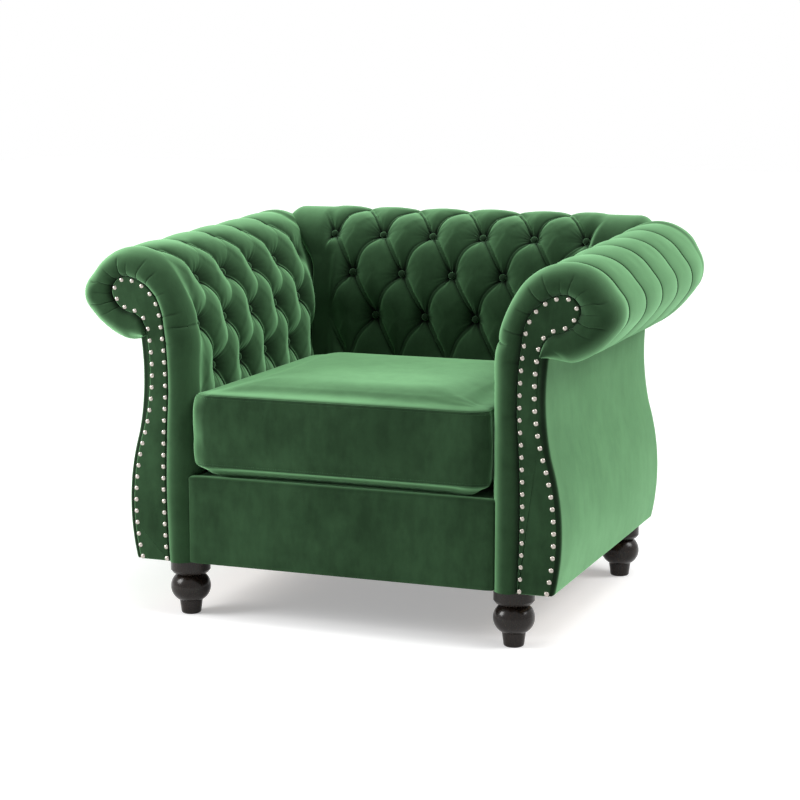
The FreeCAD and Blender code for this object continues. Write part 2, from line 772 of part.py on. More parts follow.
def back_pad_end_wire(x):
    """Plain section at the side, pressed back beside the arm."""
    padding = Padding(back_outline())
    rows = back_rows()
    half = size("pit_width") / 2
    pressed = 0.8 * size("tuft_depth")
    stops = [(padding.start, pressed), (rows[0] - half, pressed), (rows[0] + half, pressed),
             (rows[2] - half, pressed), (rows[2] + half, pressed / 2), (rows[3] + half, pressed / 4)]
    stops += [(padding.end * share, pressed / 6) for share in UNDER_ROLL]
    stops.append((padding.end, 0))
    return section_wire(padding, stops, None, back_hidden(), in_side_view(x, size("back_face")))


def back_roll_end_outline():
    """Section of the scroll's padding that stands behind an arm."""
    padding = Padding(back_outline())
    inset = 4
    behind = size("arm_rear") + 1 - size("back_face")
    start = padding.at(back_rows()[3] + 12, inset)
    top = padding.at(padding.end * 0.62, inset)
    rear = padding.at(padding.end * 0.8, inset)
    last = padding.at(padding.end - 1, inset)
    return [
        start,
        (top, 2),
        (rear, 12),
        (last, 10),
        (behind, last[1] + 10),
        (behind, start[1] - 10),
        start,
    ]


def slanted_rail(level, height, depth):
    """Outline of a rail of the back that follows the leaning boards."""
    inner = size("pad_thickness") + size("panel_wall")
    lean = size("back_lean")
    lift = size("back_lift")
    low = inner + lean_at(level, lean, lift)
    high = inner + lean_at(level + height, lean, lift)
    return [(low, level), (high, level + height), (high + depth, level + height),
            (low + depth, level), (low, level)]


def in_back(outline):
    return chain(outline, in_side_view(0, size("back_face")))


def back_buttons():
    shapes = []
    padding = Padding(back_outline())
    rows = back_rows()
    for x, turn in back_columns():
        outermost = abs(x) > 4.5 * size("back_column_pitch")
        chosen = (rows[1],) if turn else (rows[2],) if outermost else (rows[0], rows[2])
        for along in chosen:
            shapes.append(button_on(padding, along, in_side_view(x, size("back_face"))))
    return Part.makeCompound(shapes)


def make_back():
    lean = size("back_lean")
    lift = size("back_lift")
    board_edges = in_back(board_outline(lean, lift))
    padded("back_side_board_right", "YZ_Plane", board_edges, "seat_half - board_thickness",
           "board_thickness")
    padded("back_side_board_left", "YZ_Plane", board_edges, "-seat_half", "board_thickness")
    padded("back_scroll_former", "YZ_Plane", in_back(former_outline(lean, lift)), "0",
           "2 * seat_half", middle=True)
    end = in_back(back_roll_end_outline())
    low = "inner_face + tuft_depth - 3 + fit_gap"
    length = "back_roll_width / 2 - (inner_face + tuft_depth - 3 + fit_gap)"
    padded("back_roll_end_right", "YZ_Plane", end, low, length)
    padded("back_roll_end_left", "YZ_Plane", end, "-back_roll_width / 2", length)
    padded("back_outer_panel", "YZ_Plane", in_back(outer_panel_outline(lean, lift)), "0",
           "2 * wood_face - 2", middle=True)
    between = "2 * (seat_half - board_thickness)"
    slat = size("slat_height")
    low_rail = slanted_rail(size("foot_height"), size("base_rail_height"), size("rail_thickness"))
    blank = padded("back_lower_blank", "YZ_Plane", in_back(low_rail), "0", between, middle=True)
    drilled("back_lower_rail", blank,
            [bolt_hole(*joint, 3 * size("rail_thickness")) for joint in back_joints()])
    seat_rail = slanted_rail(size("deck_top"), slat, size("slat_width"))
    padded("back_seat_rail", "YZ_Plane", in_back(seat_rail), "0", between, middle=True)
    top_rail = slanted_rail(size("neck_height") - slat + 5, slat, size("slat_width"))
    padded("back_upper_rail", "YZ_Plane", in_back(top_rail), "0", between, middle=True)
    panel_height = size("neck_height") + 40 - size("deck_top")
    panel = slanted_rail(size("deck_top"), panel_height, -size("panel_wall"))
    padded("back_inner_panel", "YZ_Plane", in_back(panel), "0", "2 * seat_half", middle=True)
    solid("back_pad", back_pad())
    solid("back_buttons", back_buttons())


# Seat

def foot_places():
    front_y = size("front") + size("front_foot_setback")
    rear_y = size("arm_rear") - size("rear_foot_inset")
    return [("front_right", size("front_foot_x"), front_y), ("front_left", -size("front_foot_x"), front_y),
            ("rear_right", size("rear_foot_x"), rear_y), ("rear_left", -size("rear_foot_x"), rear_y)]


def foot_outline():
    """Half section of a turned foot: toe, bun, groove and top ring, with its bolt hole."""
    height = size("foot_height")
    radius = size("foot_radius")
    toe = size("foot_toe")
    groove = size("foot_neck")
    bore = size("bolt_radius") + size("bolt_clearance")
    bore_bottom = height - size("foot_bolt_depth")
    return [
        (0, 0),
        (toe - 3, 0),
        ((toe, 3), -0.6),
        (toe + 3, height * 0.24),
        ((groove, height * 0.7), -(radius - groove + 2.5)),
        (radius - 4, height * 0.735),
        (radius, height * 0.785),
        (radius, height - 2),
        (radius - 2, height),
        (bore, height),
        (bore, bore_bottom),
        (0, bore_bottom),
        (0, 0),
    ]


def make_feet():
    edges = chain(foot_outline(), in_front_view(0, 0))
    for name, side_x in (("right", ""), ("left", "-")):
        turned("foot_front_" + name, edges, side_x + "front_foot_x", "front + front_foot_setback")
        turned("foot_rear_" + name, edges, side_x + "rear_foot_x", "arm_rear - rear_foot_inset")
    bolts = []
    inserts = []
    gap = size("bolt_clearance")
    floor = size("foot_height")
    for name, x, y in foot_places():
        low = floor - size("foot_bolt_depth") + gap
        bolts.append(Part.makeCylinder(size("bolt_radius"), floor + size("insert_length") - low,
                                       Vector(x, y, low)))
        sleeve = Part.makeCylinder(size("insert_radius"), size("insert_length"), Vector(x, y, floor))
        hole = Part.makeCylinder(size("bolt_radius") + gap, size("insert_length"), Vector(x, y, floor))
        inserts.append(sleeve.cut(hole))
    solid("foot_bolts", Part.makeCompound(bolts))
    solid("foot_inserts", Part.makeCompound(inserts))


def insert_holes(prefix):
    radius = size("insert_radius") + size("bolt_clearance")
    depth = size("insert_length") + 2
    return [Part.makeCylinder(radius, depth, Vector(x, y, size("foot_height")))
            for name, x, y in foot_places() if name == prefix]


def arm_bolt_places():
    """Places along the side where the arm is bolted to the seat frame."""
    start = size("rails_front")
    span = size("back_wood") - start
    return [start + span * (count + 0.5) / 3 for count in range(3)]


def bolt_level():
    return size("foot_height") + size("base_rail_height") / 2


def through_bolt(seat_side, direction, grip):
    """Bolt with its head on the seat's side and its nut after the two rails."""
    radius = size("bolt_radius")
    head = size("bolt_head")
    wide = size("bolt_head_radius")
    cap = Part.makeCylinder(wide, head, seat_side - direction * head, direction)
    shank = Part.makeCylinder(radius, grip + head, seat_side, direction)
    nut_start = seat_side + direction * grip
    nut = Part.makeCylinder(wide, head, nut_start, direction)
    hole = Part.makeCylinder(radius + size("bolt_clearance"), head, nut_start, direction)
    return cap.fuse(shank), nut.cut(hole)


def bolt_hole(seat_side, direction, length):
    radius = size("bolt_radius") + size("bolt_clearance")
    return Part.makeCylinder(radius, length, seat_side, direction)


def side_joints(side):
    """Head places and direction of the bolts that hold one arm."""
    direction = ACROSS * side
    return [(Vector(side * size("seat_half"), y, bolt_level()), direction) for y in arm_bolt_places()]


def back_joints():
    y = size("back_wood") - size("rail_thickness")
    return [(Vector(side * size("seat_half") / 2, y, bolt_level()), BACKWARD) for side in (1, -1)]


def make_frame():
    rail_height = "rail_top - foot_height"
    board("seat_front_rail", ("-seat_half", "board_front", "foot_height"),
          ("2 * seat_half", "rail_thickness", rail_height))
    rear = board("seat_rear_blank", ("-seat_half", "back_wood - rail_thickness", "foot_height"),
                 ("2 * seat_half", "rail_thickness", rail_height))
    reach = size("side_rail_thickness") + size("base_rail_width")
    drilled("seat_rear_rail", rear, [bolt_hole(*joint, reach) for joint in back_joints()])
    bolts = []
    nuts = []
    for name, side, low_x in (("right", 1, "seat_half"), ("left", -1, "-wood_face")):
        holes = [bolt_hole(*joint, reach) for joint in side_joints(side)]
        blank = board("seat_side_blank_" + name, (low_x, "board_front", "foot_height"),
                      ("side_rail_thickness", "back_wood - board_front", "deck_bottom - foot_height"))
        drilled("seat_side_rail_" + name, blank, holes + insert_holes("front_" + name))
        low_x = "wood_face" if side > 0 else "-wood_face - base_rail_width"
        blank = board("arm_base_blank_" + name, (low_x, "rails_front", "foot_height"),
                      ("base_rail_width", "rails_rear - rails_front", "base_rail_height"))
        drilled("arm_base_rail_" + name, blank, holes + insert_holes("rear_" + name))
        for joint in side_joints(side):
            bolt, nut = through_bolt(*joint, reach)
            bolts.append(bolt)
            nuts.append(nut)
    for joint in back_joints():
        bolt, nut = through_bolt(*joint, 2 * size("rail_thickness") + size("back_lean") / 8)
        bolts.append(bolt)
        nuts.append(nut)
    solid("frame_bolts", Part.makeCompound(bolts))
    solid("frame_nuts", Part.makeCompound(nuts))
    make_corner_blocks()


def make_corner_blocks():
    """Glued blocks in the four corners of the seat frame."""
    edges = []
    leg = size("block_side")
    corner_x = size("seat_half")
    corners_y = ((size("board_front") + size("rail_thickness"), 1),
                 (size("back_wood") - size("rail_thickness"), -1))
    for side in (1, -1):
        for y, turn in corners_y:
            corner = Vector(side * corner_x, y, 0)
            along = Vector(side * (corner_x - leg), y, 0)
            inward = Vector(side * corner_x, y + turn * leg, 0)
            edges += [Part.makeLine(corner, along), Part.makeLine(along, inward),
                      Part.makeLine(inward, corner)]
    padded("seat_corner_blocks", "XY_Plane", edges, "rail_top - block_height", "block_height")


def spring_path(x):
    """Centre line of a sinuous spring: straight bars joined by half turns."""
    first = size("board_front") + size("rail_thickness") / 2
    last = size("back_wood") - size("rail_thickness") / 2
    level = size("wire_level")
    spaces = 2 * round((last - first) / size("spring_pitch") / 2)
    pitch = (last - first) / spaces
    bar = size("spring_width") / 2 - pitch / 2
    dent = pitch / 2 * math.sqrt(0.5)
    edges = []
    for count in range(spaces + 1):
        y = first + pitch * count
        side = 1 if count % 2 == 0 else -1
        here = Vector(x - side * bar, y, level)
        there = Vector(x + side * bar, y, level)
        edges.append(Part.makeLine(here, there))
        if count == spaces:
            break
        outermost = there + Vector(side * pitch / 2, pitch / 2, 0)
        first_middle = there + Vector(side * dent, pitch / 2 - dent, 0)
        second_middle = there + Vector(side * dent, pitch / 2 + dent, 0)
        turn_end = there + Vector(0, pitch, 0)
        edges.append(Part.Arc(there, first_middle, outermost).toShape())
        edges.append(Part.Arc(outermost, second_middle, turn_end).toShape())
    return edges


def make_springs():
    springs = []
    clips = []
    edges = spring_path(0)
    start = edges[0].Vertexes[0].Point
    end = edges[-1].Vertexes[-1].Point
    section = Part.Wire(Part.makeCircle(size("wire_radius"), start, ACROSS))
    spring = Part.Wire(edges).makePipeShell([section], True, False)
    bore = size("wire_radius") + size("bolt_clearance")
    low = Vector(-size("clip_width") / 2, -size("clip_depth") / 2, size("rail_top"))
    clip_top = size("deck_bottom") - size("fit_gap") - size("rail_top")
    clip = Part.makeBox(size("clip_width"), size("clip_depth"), clip_top, low)
    hole = Part.makeCylinder(bore, size("clip_width"), Vector(low.x, 0, size("wire_level")), ACROSS)
    clip = clip.cut(hole)
    for count in range(-2, 3):
        shift = Vector(size("spring_spacing") * count, 0, 0)
        springs.append(spring.translated(shift))
        for y in (start.y, end.y):
            clips.append(clip.translated(shift + BACKWARD * y))
    solid("seat_springs", Part.makeCompound(springs))
    solid("spring_clips", Part.makeCompound(clips))


def rounded_plan(inset, level):
    """Rounded rectangle of the cushion's plan."""
    half = size("cushion_width") / 2 - inset
    front = size("front") - size("cushion_front") + inset
    rear = size("back_face") - size("cushion_gap") - inset
    radius = size("cushion_corner")
    dent = radius * (1 - math.sqrt(0.5))
    outline = [
        (-half + radius, front),
        (half - radius, front),
        ((half, front + radius), -dent),
        (half, rear - radius),
        ((half - radius, rear), -dent),
        (-half + radius, rear),
        ((-half, rear - radius), -dent),
        (-half, front + radius),
        ((-half + radius, front), -dent),
    ]
    return Part.Wire(chain(outline, lambda x, y: Vector(x, y, level)))


def cushion_shape(skin):
    """Crowned box cushion, its sides drawn in at both seams; skin is taken off all round."""
    low_seam = size("deck_top") + size("fit_gap") + size("cushion_belly")
    high_seam = low_seam + size("cushion_side")
    belly = size("cushion_belly")
    crown = size("cushion_crown")
    half = size("cushion_width") / 2
    pull = size("seam_pull")
    sections = [(low_seam - share * belly + skin, inset * half) for share, inset in BELLY_SECTIONS]
    sections += [(low_seam, pull), ((low_seam + high_seam) / 2, 0), (high_seam, pull)]
    sections += [(high_seam + share * crown - skin, inset * half) for share, inset in CROWN_SECTIONS]
    wires = [rounded_plan(inset + skin, level) for level, inset in sections]
    return Part.makeLoft(wires, True, True)


def make_seat():
    board("seat_deck", ("-wood_face", "board_front", "deck_bottom"),
          ("2 * wood_face", "back_wood - board_front", "deck_thickness"))
    clear = "front_foot_x - foot_radius - 6"
    board("dust_cloth", ("-(" + clear + ")", "board_front", "foot_height - dust_cloth"),
          ("2 * (" + clear + ")", "back_wood - board_front", "dust_cloth"))
    low = size("foot_height")
    top = size("front_cover_top")
    thick = size("front_cover")
    cover = [(0, low), (0, top - thick / 2), ((thick / 2, top), 2), (thick, top), (thick, low), (0, low)]
    padded("front_rail_cover", "YZ_Plane", chain(cover, in_side_view(0, size("front"))), "0",
           "2 * inner_face - 1", middle=True)
    core = cushion_shape(size("cover_wall"))
    solid("cushion_core", core)
    solid("cushion_cover", cushion_shape(0).cut(core))


make_arms()
make_back()
make_feet()
make_frame()
make_springs()
make_seat()
doc.recompute()


def check_and_write():
    """Writes one STEP file for each piece, once every one of them is known to be sound."""
    for item in doc.Objects:
        if {"Invalid", "Error"} & set(item.State):
            raise RuntimeError("%s failed: %s" % (item.Label, item.State))
    used = {tool for item in doc.Objects for tool in item.OutList}
    pieces = [item for item in doc.Objects
              if item is not sheet and item not in used and hasattr(item, "Shape")]
    for item in pieces:
        if item.Shape.isNull() or not item.Shape.isValid():
            raise RuntimeError("%s has no sound shape" % item.Label)
    os.makedirs("parts", exist_ok=True)
    for item in pieces:
        item.Shape.exportStep("parts/%s.step" % item.Label)


check_and_write()
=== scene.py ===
import math

import bpy
import numpy as np
from bpy.props import FloatProperty, FloatVectorProperty, IntProperty
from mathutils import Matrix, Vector
from mathutils.bvhtree import BVHTree


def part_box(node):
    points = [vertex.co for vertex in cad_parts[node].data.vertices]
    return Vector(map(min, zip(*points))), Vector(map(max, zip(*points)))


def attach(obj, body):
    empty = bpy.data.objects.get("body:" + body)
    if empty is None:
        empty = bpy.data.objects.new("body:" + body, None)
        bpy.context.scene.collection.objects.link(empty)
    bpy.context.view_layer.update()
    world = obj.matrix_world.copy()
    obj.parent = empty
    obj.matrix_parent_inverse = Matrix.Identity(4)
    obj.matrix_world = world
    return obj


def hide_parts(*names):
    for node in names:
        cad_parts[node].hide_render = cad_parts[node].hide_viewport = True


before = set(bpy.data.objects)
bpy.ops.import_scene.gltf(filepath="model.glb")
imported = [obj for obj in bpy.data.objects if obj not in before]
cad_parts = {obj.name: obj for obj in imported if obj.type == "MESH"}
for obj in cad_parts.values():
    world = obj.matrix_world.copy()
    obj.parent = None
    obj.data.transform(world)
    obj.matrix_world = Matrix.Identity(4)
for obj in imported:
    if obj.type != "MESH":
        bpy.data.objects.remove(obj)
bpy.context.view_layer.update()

bl_info = {
    "name": "Chesterfield armchair",
    "version": (1, 0, 0),
    "blender": (4, 5, 0),
    "location": "3D View > Sidebar > Armchair",
    "description": "Dresses the armchair's packed frame in tufted velvet, wood and metal",
    "category": "Object",
}

MM = 0.001
CHAIR = "chair_frame"
CUSHION = "seat_cushion"
SIDES = (("right", 1), ("left", -1))


def mm_box(node):
    """Lowest and highest corner of a node of the frame, in millimetres."""
    return [np.array(corner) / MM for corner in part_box(node)]


# Levels and planes of the frame, in millimetres
FACING_BOX = mm_box("arm_facing_right")
FRONT = FACING_BOX[0][1]                            # plane of the arm facings
BOARD_FRONT = FACING_BOX[1][1]                      # front of an arm's front board
ARM_REAR = mm_box("arm_rear_cover_right")[1][1]
INNER_FACE = mm_box("arm_border_right")[0][0] + 0.6   # fullest line of an arm's padding
FLOOR_GAP = FACING_BOX[0][2]                        # underside of the upholstery
DECK_TOP = mm_box("seat_deck")[1][2]
BACK_FACE = mm_box("back_pad")[0][1]                # face of the back pad at seat level
BACK_HALF = mm_box("back_roll_end_right")[1][0]     # half the length of the back's scroll
BACK_CORNER = 303.0     # half the back pad's width between the arms
BACK_LEAN = 18.0        # how far the back's scroll lies behind its foot
BACK_LIFT = 21.0        # the back's outer panel, padding and crest stand above the arms' by these
BACK_PAD_LIFT = 24.0
BACK_CREST_LIFT = 34.0
ARM_RISE = 27.0         # how much higher an arm's scroll ends at the rear
PAD_THICKNESS = 24.0
PANEL_THICKNESS = 14.0


class ArmchairSizes(bpy.types.PropertyGroup):
    """Measures of the upholstery that a user may change."""

    button_depth: FloatProperty(
        name="Button depth", description="How deep a button's pit lies below the pillows",
        default=0.034, min=0.005, max=0.038, unit="LENGTH")
    crease_depth: FloatProperty(
        name="Crease depth", description="Depth of a fold halfway between two buttons",
        default=0.0125, min=0.002, max=0.02, unit="LENGTH")
    pleat_width: FloatProperty(
        name="Pleat width", description="Width of the folded strip beside a crease",
        default=0.0065, min=0.002, max=0.012, unit="LENGTH")
    border_swell: FloatProperty(
        name="Border swell", description="How far the arm's border stands before the facing",
        default=0.010, min=0.0, max=0.018, unit="LENGTH")
    cushion_swell: FloatProperty(
        name="Cushion swell", description="How far the cushion may puff out when it is filled",
        default=0.012, min=0.0, max=0.03, unit="LENGTH")
    fabric_grid: FloatProperty(
        name="Fabric grid", description="Distance between the points of the padded surfaces",
        default=0.0028, min=0.0015, max=0.01, unit="LENGTH")
    stitch_pitch: FloatProperty(
        name="Stitch pitch", description="From one stitch of a seam to the next",
        default=0.0048, min=0.002, max=0.01, unit="LENGTH")
    simulation_frames: IntProperty(
        name="Filling frames", description="Steps of the cloth simulation that fills the cushion",
        default=12, min=2, max=40)


class ArmchairColours(bpy.types.PropertyGroup):
    """Colours of the finishes."""

    velvet: FloatVectorProperty(
        name="Velvet", description="Colour of the velvet's pile",
        subtype="COLOR", size=3, default=(0.017, 0.043, 0.018), min=0, max=1)
    # Painted shade: the velvet is darkened towards this colour in folds, pits, seams and recesses
    velvet_fold_shade: FloatVectorProperty(
        name="Velvet fold shade", description="Colour of the velvet deep in a fold",
        subtype="COLOR", size=3, default=(0.0020, 0.0050, 0.0022), min=0, max=1)
    # Painted sheen: the base colour turns to this lighter green where the cloth is seen at a grazing
    # angle
    velvet_painted_sheen: FloatVectorProperty(
        name="Velvet painted sheen", description="Colour of the pile's tips, seen along the cloth",
        subtype="COLOR", size=3, default=(0.25, 0.56, 0.26), min=0, max=1)
    velvet_sheen: FloatVectorProperty(
        name="Velvet sheen", description="Colour of the light that the pile's tips catch",
        subtype="COLOR", size=3, default=(0.50, 0.95, 0.55), min=0, max=1)
    foot_wood: FloatVectorProperty(
        name="Feet", description="Colour of the stained and lacquered feet",
        subtype="COLOR", size=3, default=(0.006, 0.004, 0.003), min=0, max=1)
    nail_metal: FloatVectorProperty(
        name="Nails", description="Colour of the plated nail heads",
        subtype="COLOR", size=3, default=(0.40, 0.36, 0.33), min=0, max=1)


def sizes():
    return bpy.context.scene.armchair_sizes


def colours():
    return bpy.context.scene.armchair_colours


# Curves and fields, worked out in millimetres with numpy

def smooth_step(low, high, value):
    share = np.clip((value - low) / (high - low), 0, 1)
    return share * share * (3 - 2 * share)


def quarter_round(share, power=2.0):
    """0 at 0 and 1 at 1, steep at first, as a stuffed side rises from its seam."""
    share = np.clip(share, 0, 1)
    return (1 - (1 - share) ** power) ** (1 / power)


def soft_noise(u, v, seed, waves=9):
    """Smooth unevenness between about -1 and 1, the same on every run."""
    random = np.random.RandomState(seed)
    total = np.zeros(np.broadcast(u, v).shape)
    for _ in range(waves):
        angle, turn = random.uniform(0, 2 * math.pi, 2)
        pitch = random.uniform(0.6, 1.7)
        total = total + np.sin(pitch * (u * math.cos(angle) + v * math.sin(angle)) + turn)
    return total / math.sqrt(waves) / 1.4


def round_over(share):
    """0 at 0 and 1 at 1, steep at last, as cloth turns over an edge."""
    return 1 - np.sqrt(1 - np.clip(share, 0, 1) ** 2)


def walked_lengths(line):
    """How far each point of a line lies from its first, along the line."""
    return np.concatenate([[0], np.cumsum(np.hypot(*np.diff(line, axis=0).T))])


def points_at(walk, lengths, line):
    """Points of a line at the given lengths along it."""
    return np.stack([np.interp(walk, lengths, line[:, axis]) for axis in (0, 1)], -1)


def arc_points(start, end, bulge, step=1.0):
    """Points on an arc that stands off its chord by the bulge, to the left; without its start."""
    start, end = np.array(start, float), np.array(end, float)
    chord = end - start
    length = float(np.hypot(*chord))
    count = max(2, int(length / step))
    share = np.linspace(0, 1, count + 1)[1:, None]
    if abs(bulge) < 0.01:
        return start + chord * share
    left = np.array([-chord[1], chord[0]]) / length
    radius = (length ** 2 / 4 + bulge ** 2) / (2 * abs(bulge))
    half = math.asin(min(1, length / 2 / radius))
    if abs(bulge) > length / 2:
        half = math.pi - half
    centre = (start + end) / 2 + left * math.copysign(1, bulge) * (abs(bulge) - radius)
    arm = start - centre
    turn = -2 * half * share * math.copysign(1, bulge)
    return centre + np.hstack([arm[0] * np.cos(turn) - arm[1] * np.sin(turn),
                               arm[0] * np.sin(turn) + arm[1] * np.cos(turn)])


class Outline:
    """A smooth open line in (reach, height), walked by its length from a zero mark."""

    def __init__(self, steps, soften=7.0, zero_leg=0):
        points = [np.array([steps[0]], float)]
        zero = 0.0
        for count, (end, bulge) in enumerate(steps[1:]):
            points.append(arc_points(points[-1][-1], end, bulge))
            if count < zero_leg:
                zero = walked_lengths(np.vstack(points))[-1]
        line = np.vstack(points)
        if soften:
            line = soften_line(line, soften)
        self.points = line
        self.lengths = walked_lengths(line) - zero
        self.start, self.end = self.lengths[0], self.lengths[-1]

    def at(self, along):
        return points_at(along, self.lengths, self.points)

    def outward(self, along):
        """Directions square to the line, away from the frame inside it."""
        tangent = self.at(np.asarray(along) + 1.5) - self.at(np.asarray(along) - 1.5)
        tangent = tangent / np.maximum(np.hypot(tangent[..., 0], tangent[..., 1]), 1e-6)[..., None]
        return np.stack([-tangent[..., 1], tangent[..., 0]], -1)


def soften_line(line, reach):
    """Evens out the corners of a line of points a millimetre apart, and keeps its ends."""
    width = int(3 * reach)
    offsets = np.arange(-width, width + 1)
    weights = np.exp(-0.5 * (offsets / reach) ** 2)
    weights /= weights.sum()
    before = 2 * line[0] - line[width:0:-1]
    after = 2 * line[-1] - line[-2:-width - 2:-1]
    long = np.vstack([before, line, after])
    return np.stack([np.convolve(long[:, axis], weights, "valid") for axis in (0, 1)], 1)


def padding_outline(bottom, lean=0.0, lift=0.0, whole=0.0):
    """Fullest outside of the padding: up the face, over the scroll and under it.

    It is walked from the face's upper end. lift raises the scroll's top, whole all of the scroll.
    """
    rise = lift - whole
    return Outline([
        (0, bottom),
        ((lean, 480 + whole), 0),
        ((50 + lean, 647 + whole + 0.85 * rise), 16),
        ((122 + lean, 683 + lift), 7.5),
        ((212 + lean, 635 + whole + 0.85 * rise), 15),
        ((215 + lean, 562 + whole + 0.5 * rise), 18),
        ((140 + lean, 511 + whole), 7),
        ((104 + lean, 517 + whole), 0),
        ((96 + lean, 523 + whole), 0),
    ], zero_leg=1)


# Meshes

def make_object(name, points, faces, smooth=True):
    """A new object; a smooth one keeps its corners of more than 60 degrees."""
    mesh = bpy.data.meshes.new(name)
    mesh.from_pydata([tuple(point) for point in points], [], faces)
    mesh.polygons.foreach_set("use_smooth", [smooth] * len(mesh.polygons))
    mesh.update()
    if smooth:
        mesh.set_sharp_from_angle(angle=math.radians(60))
    item = bpy.data.objects.new(name, mesh)
    bpy.context.scene.collection.objects.link(item)
    return item


def grid_faces(rows, columns, closed=False):
    """Four-sided faces between rows of points; closed joins each row's end to its start."""
    faces = []
    for row in range(rows - 1):
        for column in range(columns if closed else columns - 1):
            here = row * columns + column
            ahead = row * columns + (column + 1) % columns
            faces.append((here, ahead, ahead + columns, here + columns))
    return faces


def ring_faces(rings, count):
    """Faces between closed rings of points, with the first and the last ring filled."""
    last = (rings - 1) * count
    return grid_faces(rings, count, closed=True) + [tuple(range(count))[::-1],
                                                    tuple(range(last, last + count))]


def shell(name, outer, first_back, last_back, flip=False, side=1):
    """Closed piece: a fine outer grid [row, column] and a plain back between two end lines.

    first_back and last_back are the back's points behind the grid's first and last columns.
    """
    rows, columns = outer.shape[:2]
    points = np.vstack([outer.reshape(-1, 3), first_back, last_back])
    faces = grid_faces(rows, columns)
    back = rows * columns
    for row in range(rows - 1):
        here, above = row * columns, (row + 1) * columns
        first, last = back + row, back + rows + row
        faces.append((here, above, first + 1, first))
        faces.append((above + columns - 1, here + columns - 1, last, last + 1))
        faces.append((first, first + 1, last + 1, last))
    bottom = list(range(columns))[::-1] + [back, back + rows]
    top = list(range((rows - 1) * columns, rows * columns)) + [back + 2 * rows - 1, back + rows - 1]
    faces += [tuple(bottom), tuple(top)]
    if flip:
        faces = [face[::-1] for face in faces]
    return make_object(name, mirrored(points, side) * MM, faces)


def store(item, name, values):
    """Keep one number for each point of the mesh, for its material."""
    layer = item.data.attributes.new(name, "FLOAT", "POINT")
    full = np.zeros(len(item.data.vertices), np.float32)
    full[:values.size] = values.ravel()
    layer.data.foreach_set("value", full)


def mirrored(points, side):
    """Points of the right side, moved to the given side."""
    return points * np.array([side, 1, 1])


def finish_piece(item, material, body, slot, *nodes, fill=None):
    """Gives a piece its material and body, and hides the nodes that it stands for; the slot is not used.
    """
    item.data.materials.clear()
    item.data.materials.append(material)
    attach(item, body)
    if nodes:
        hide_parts(*nodes)
    return item


# Deep buttoning

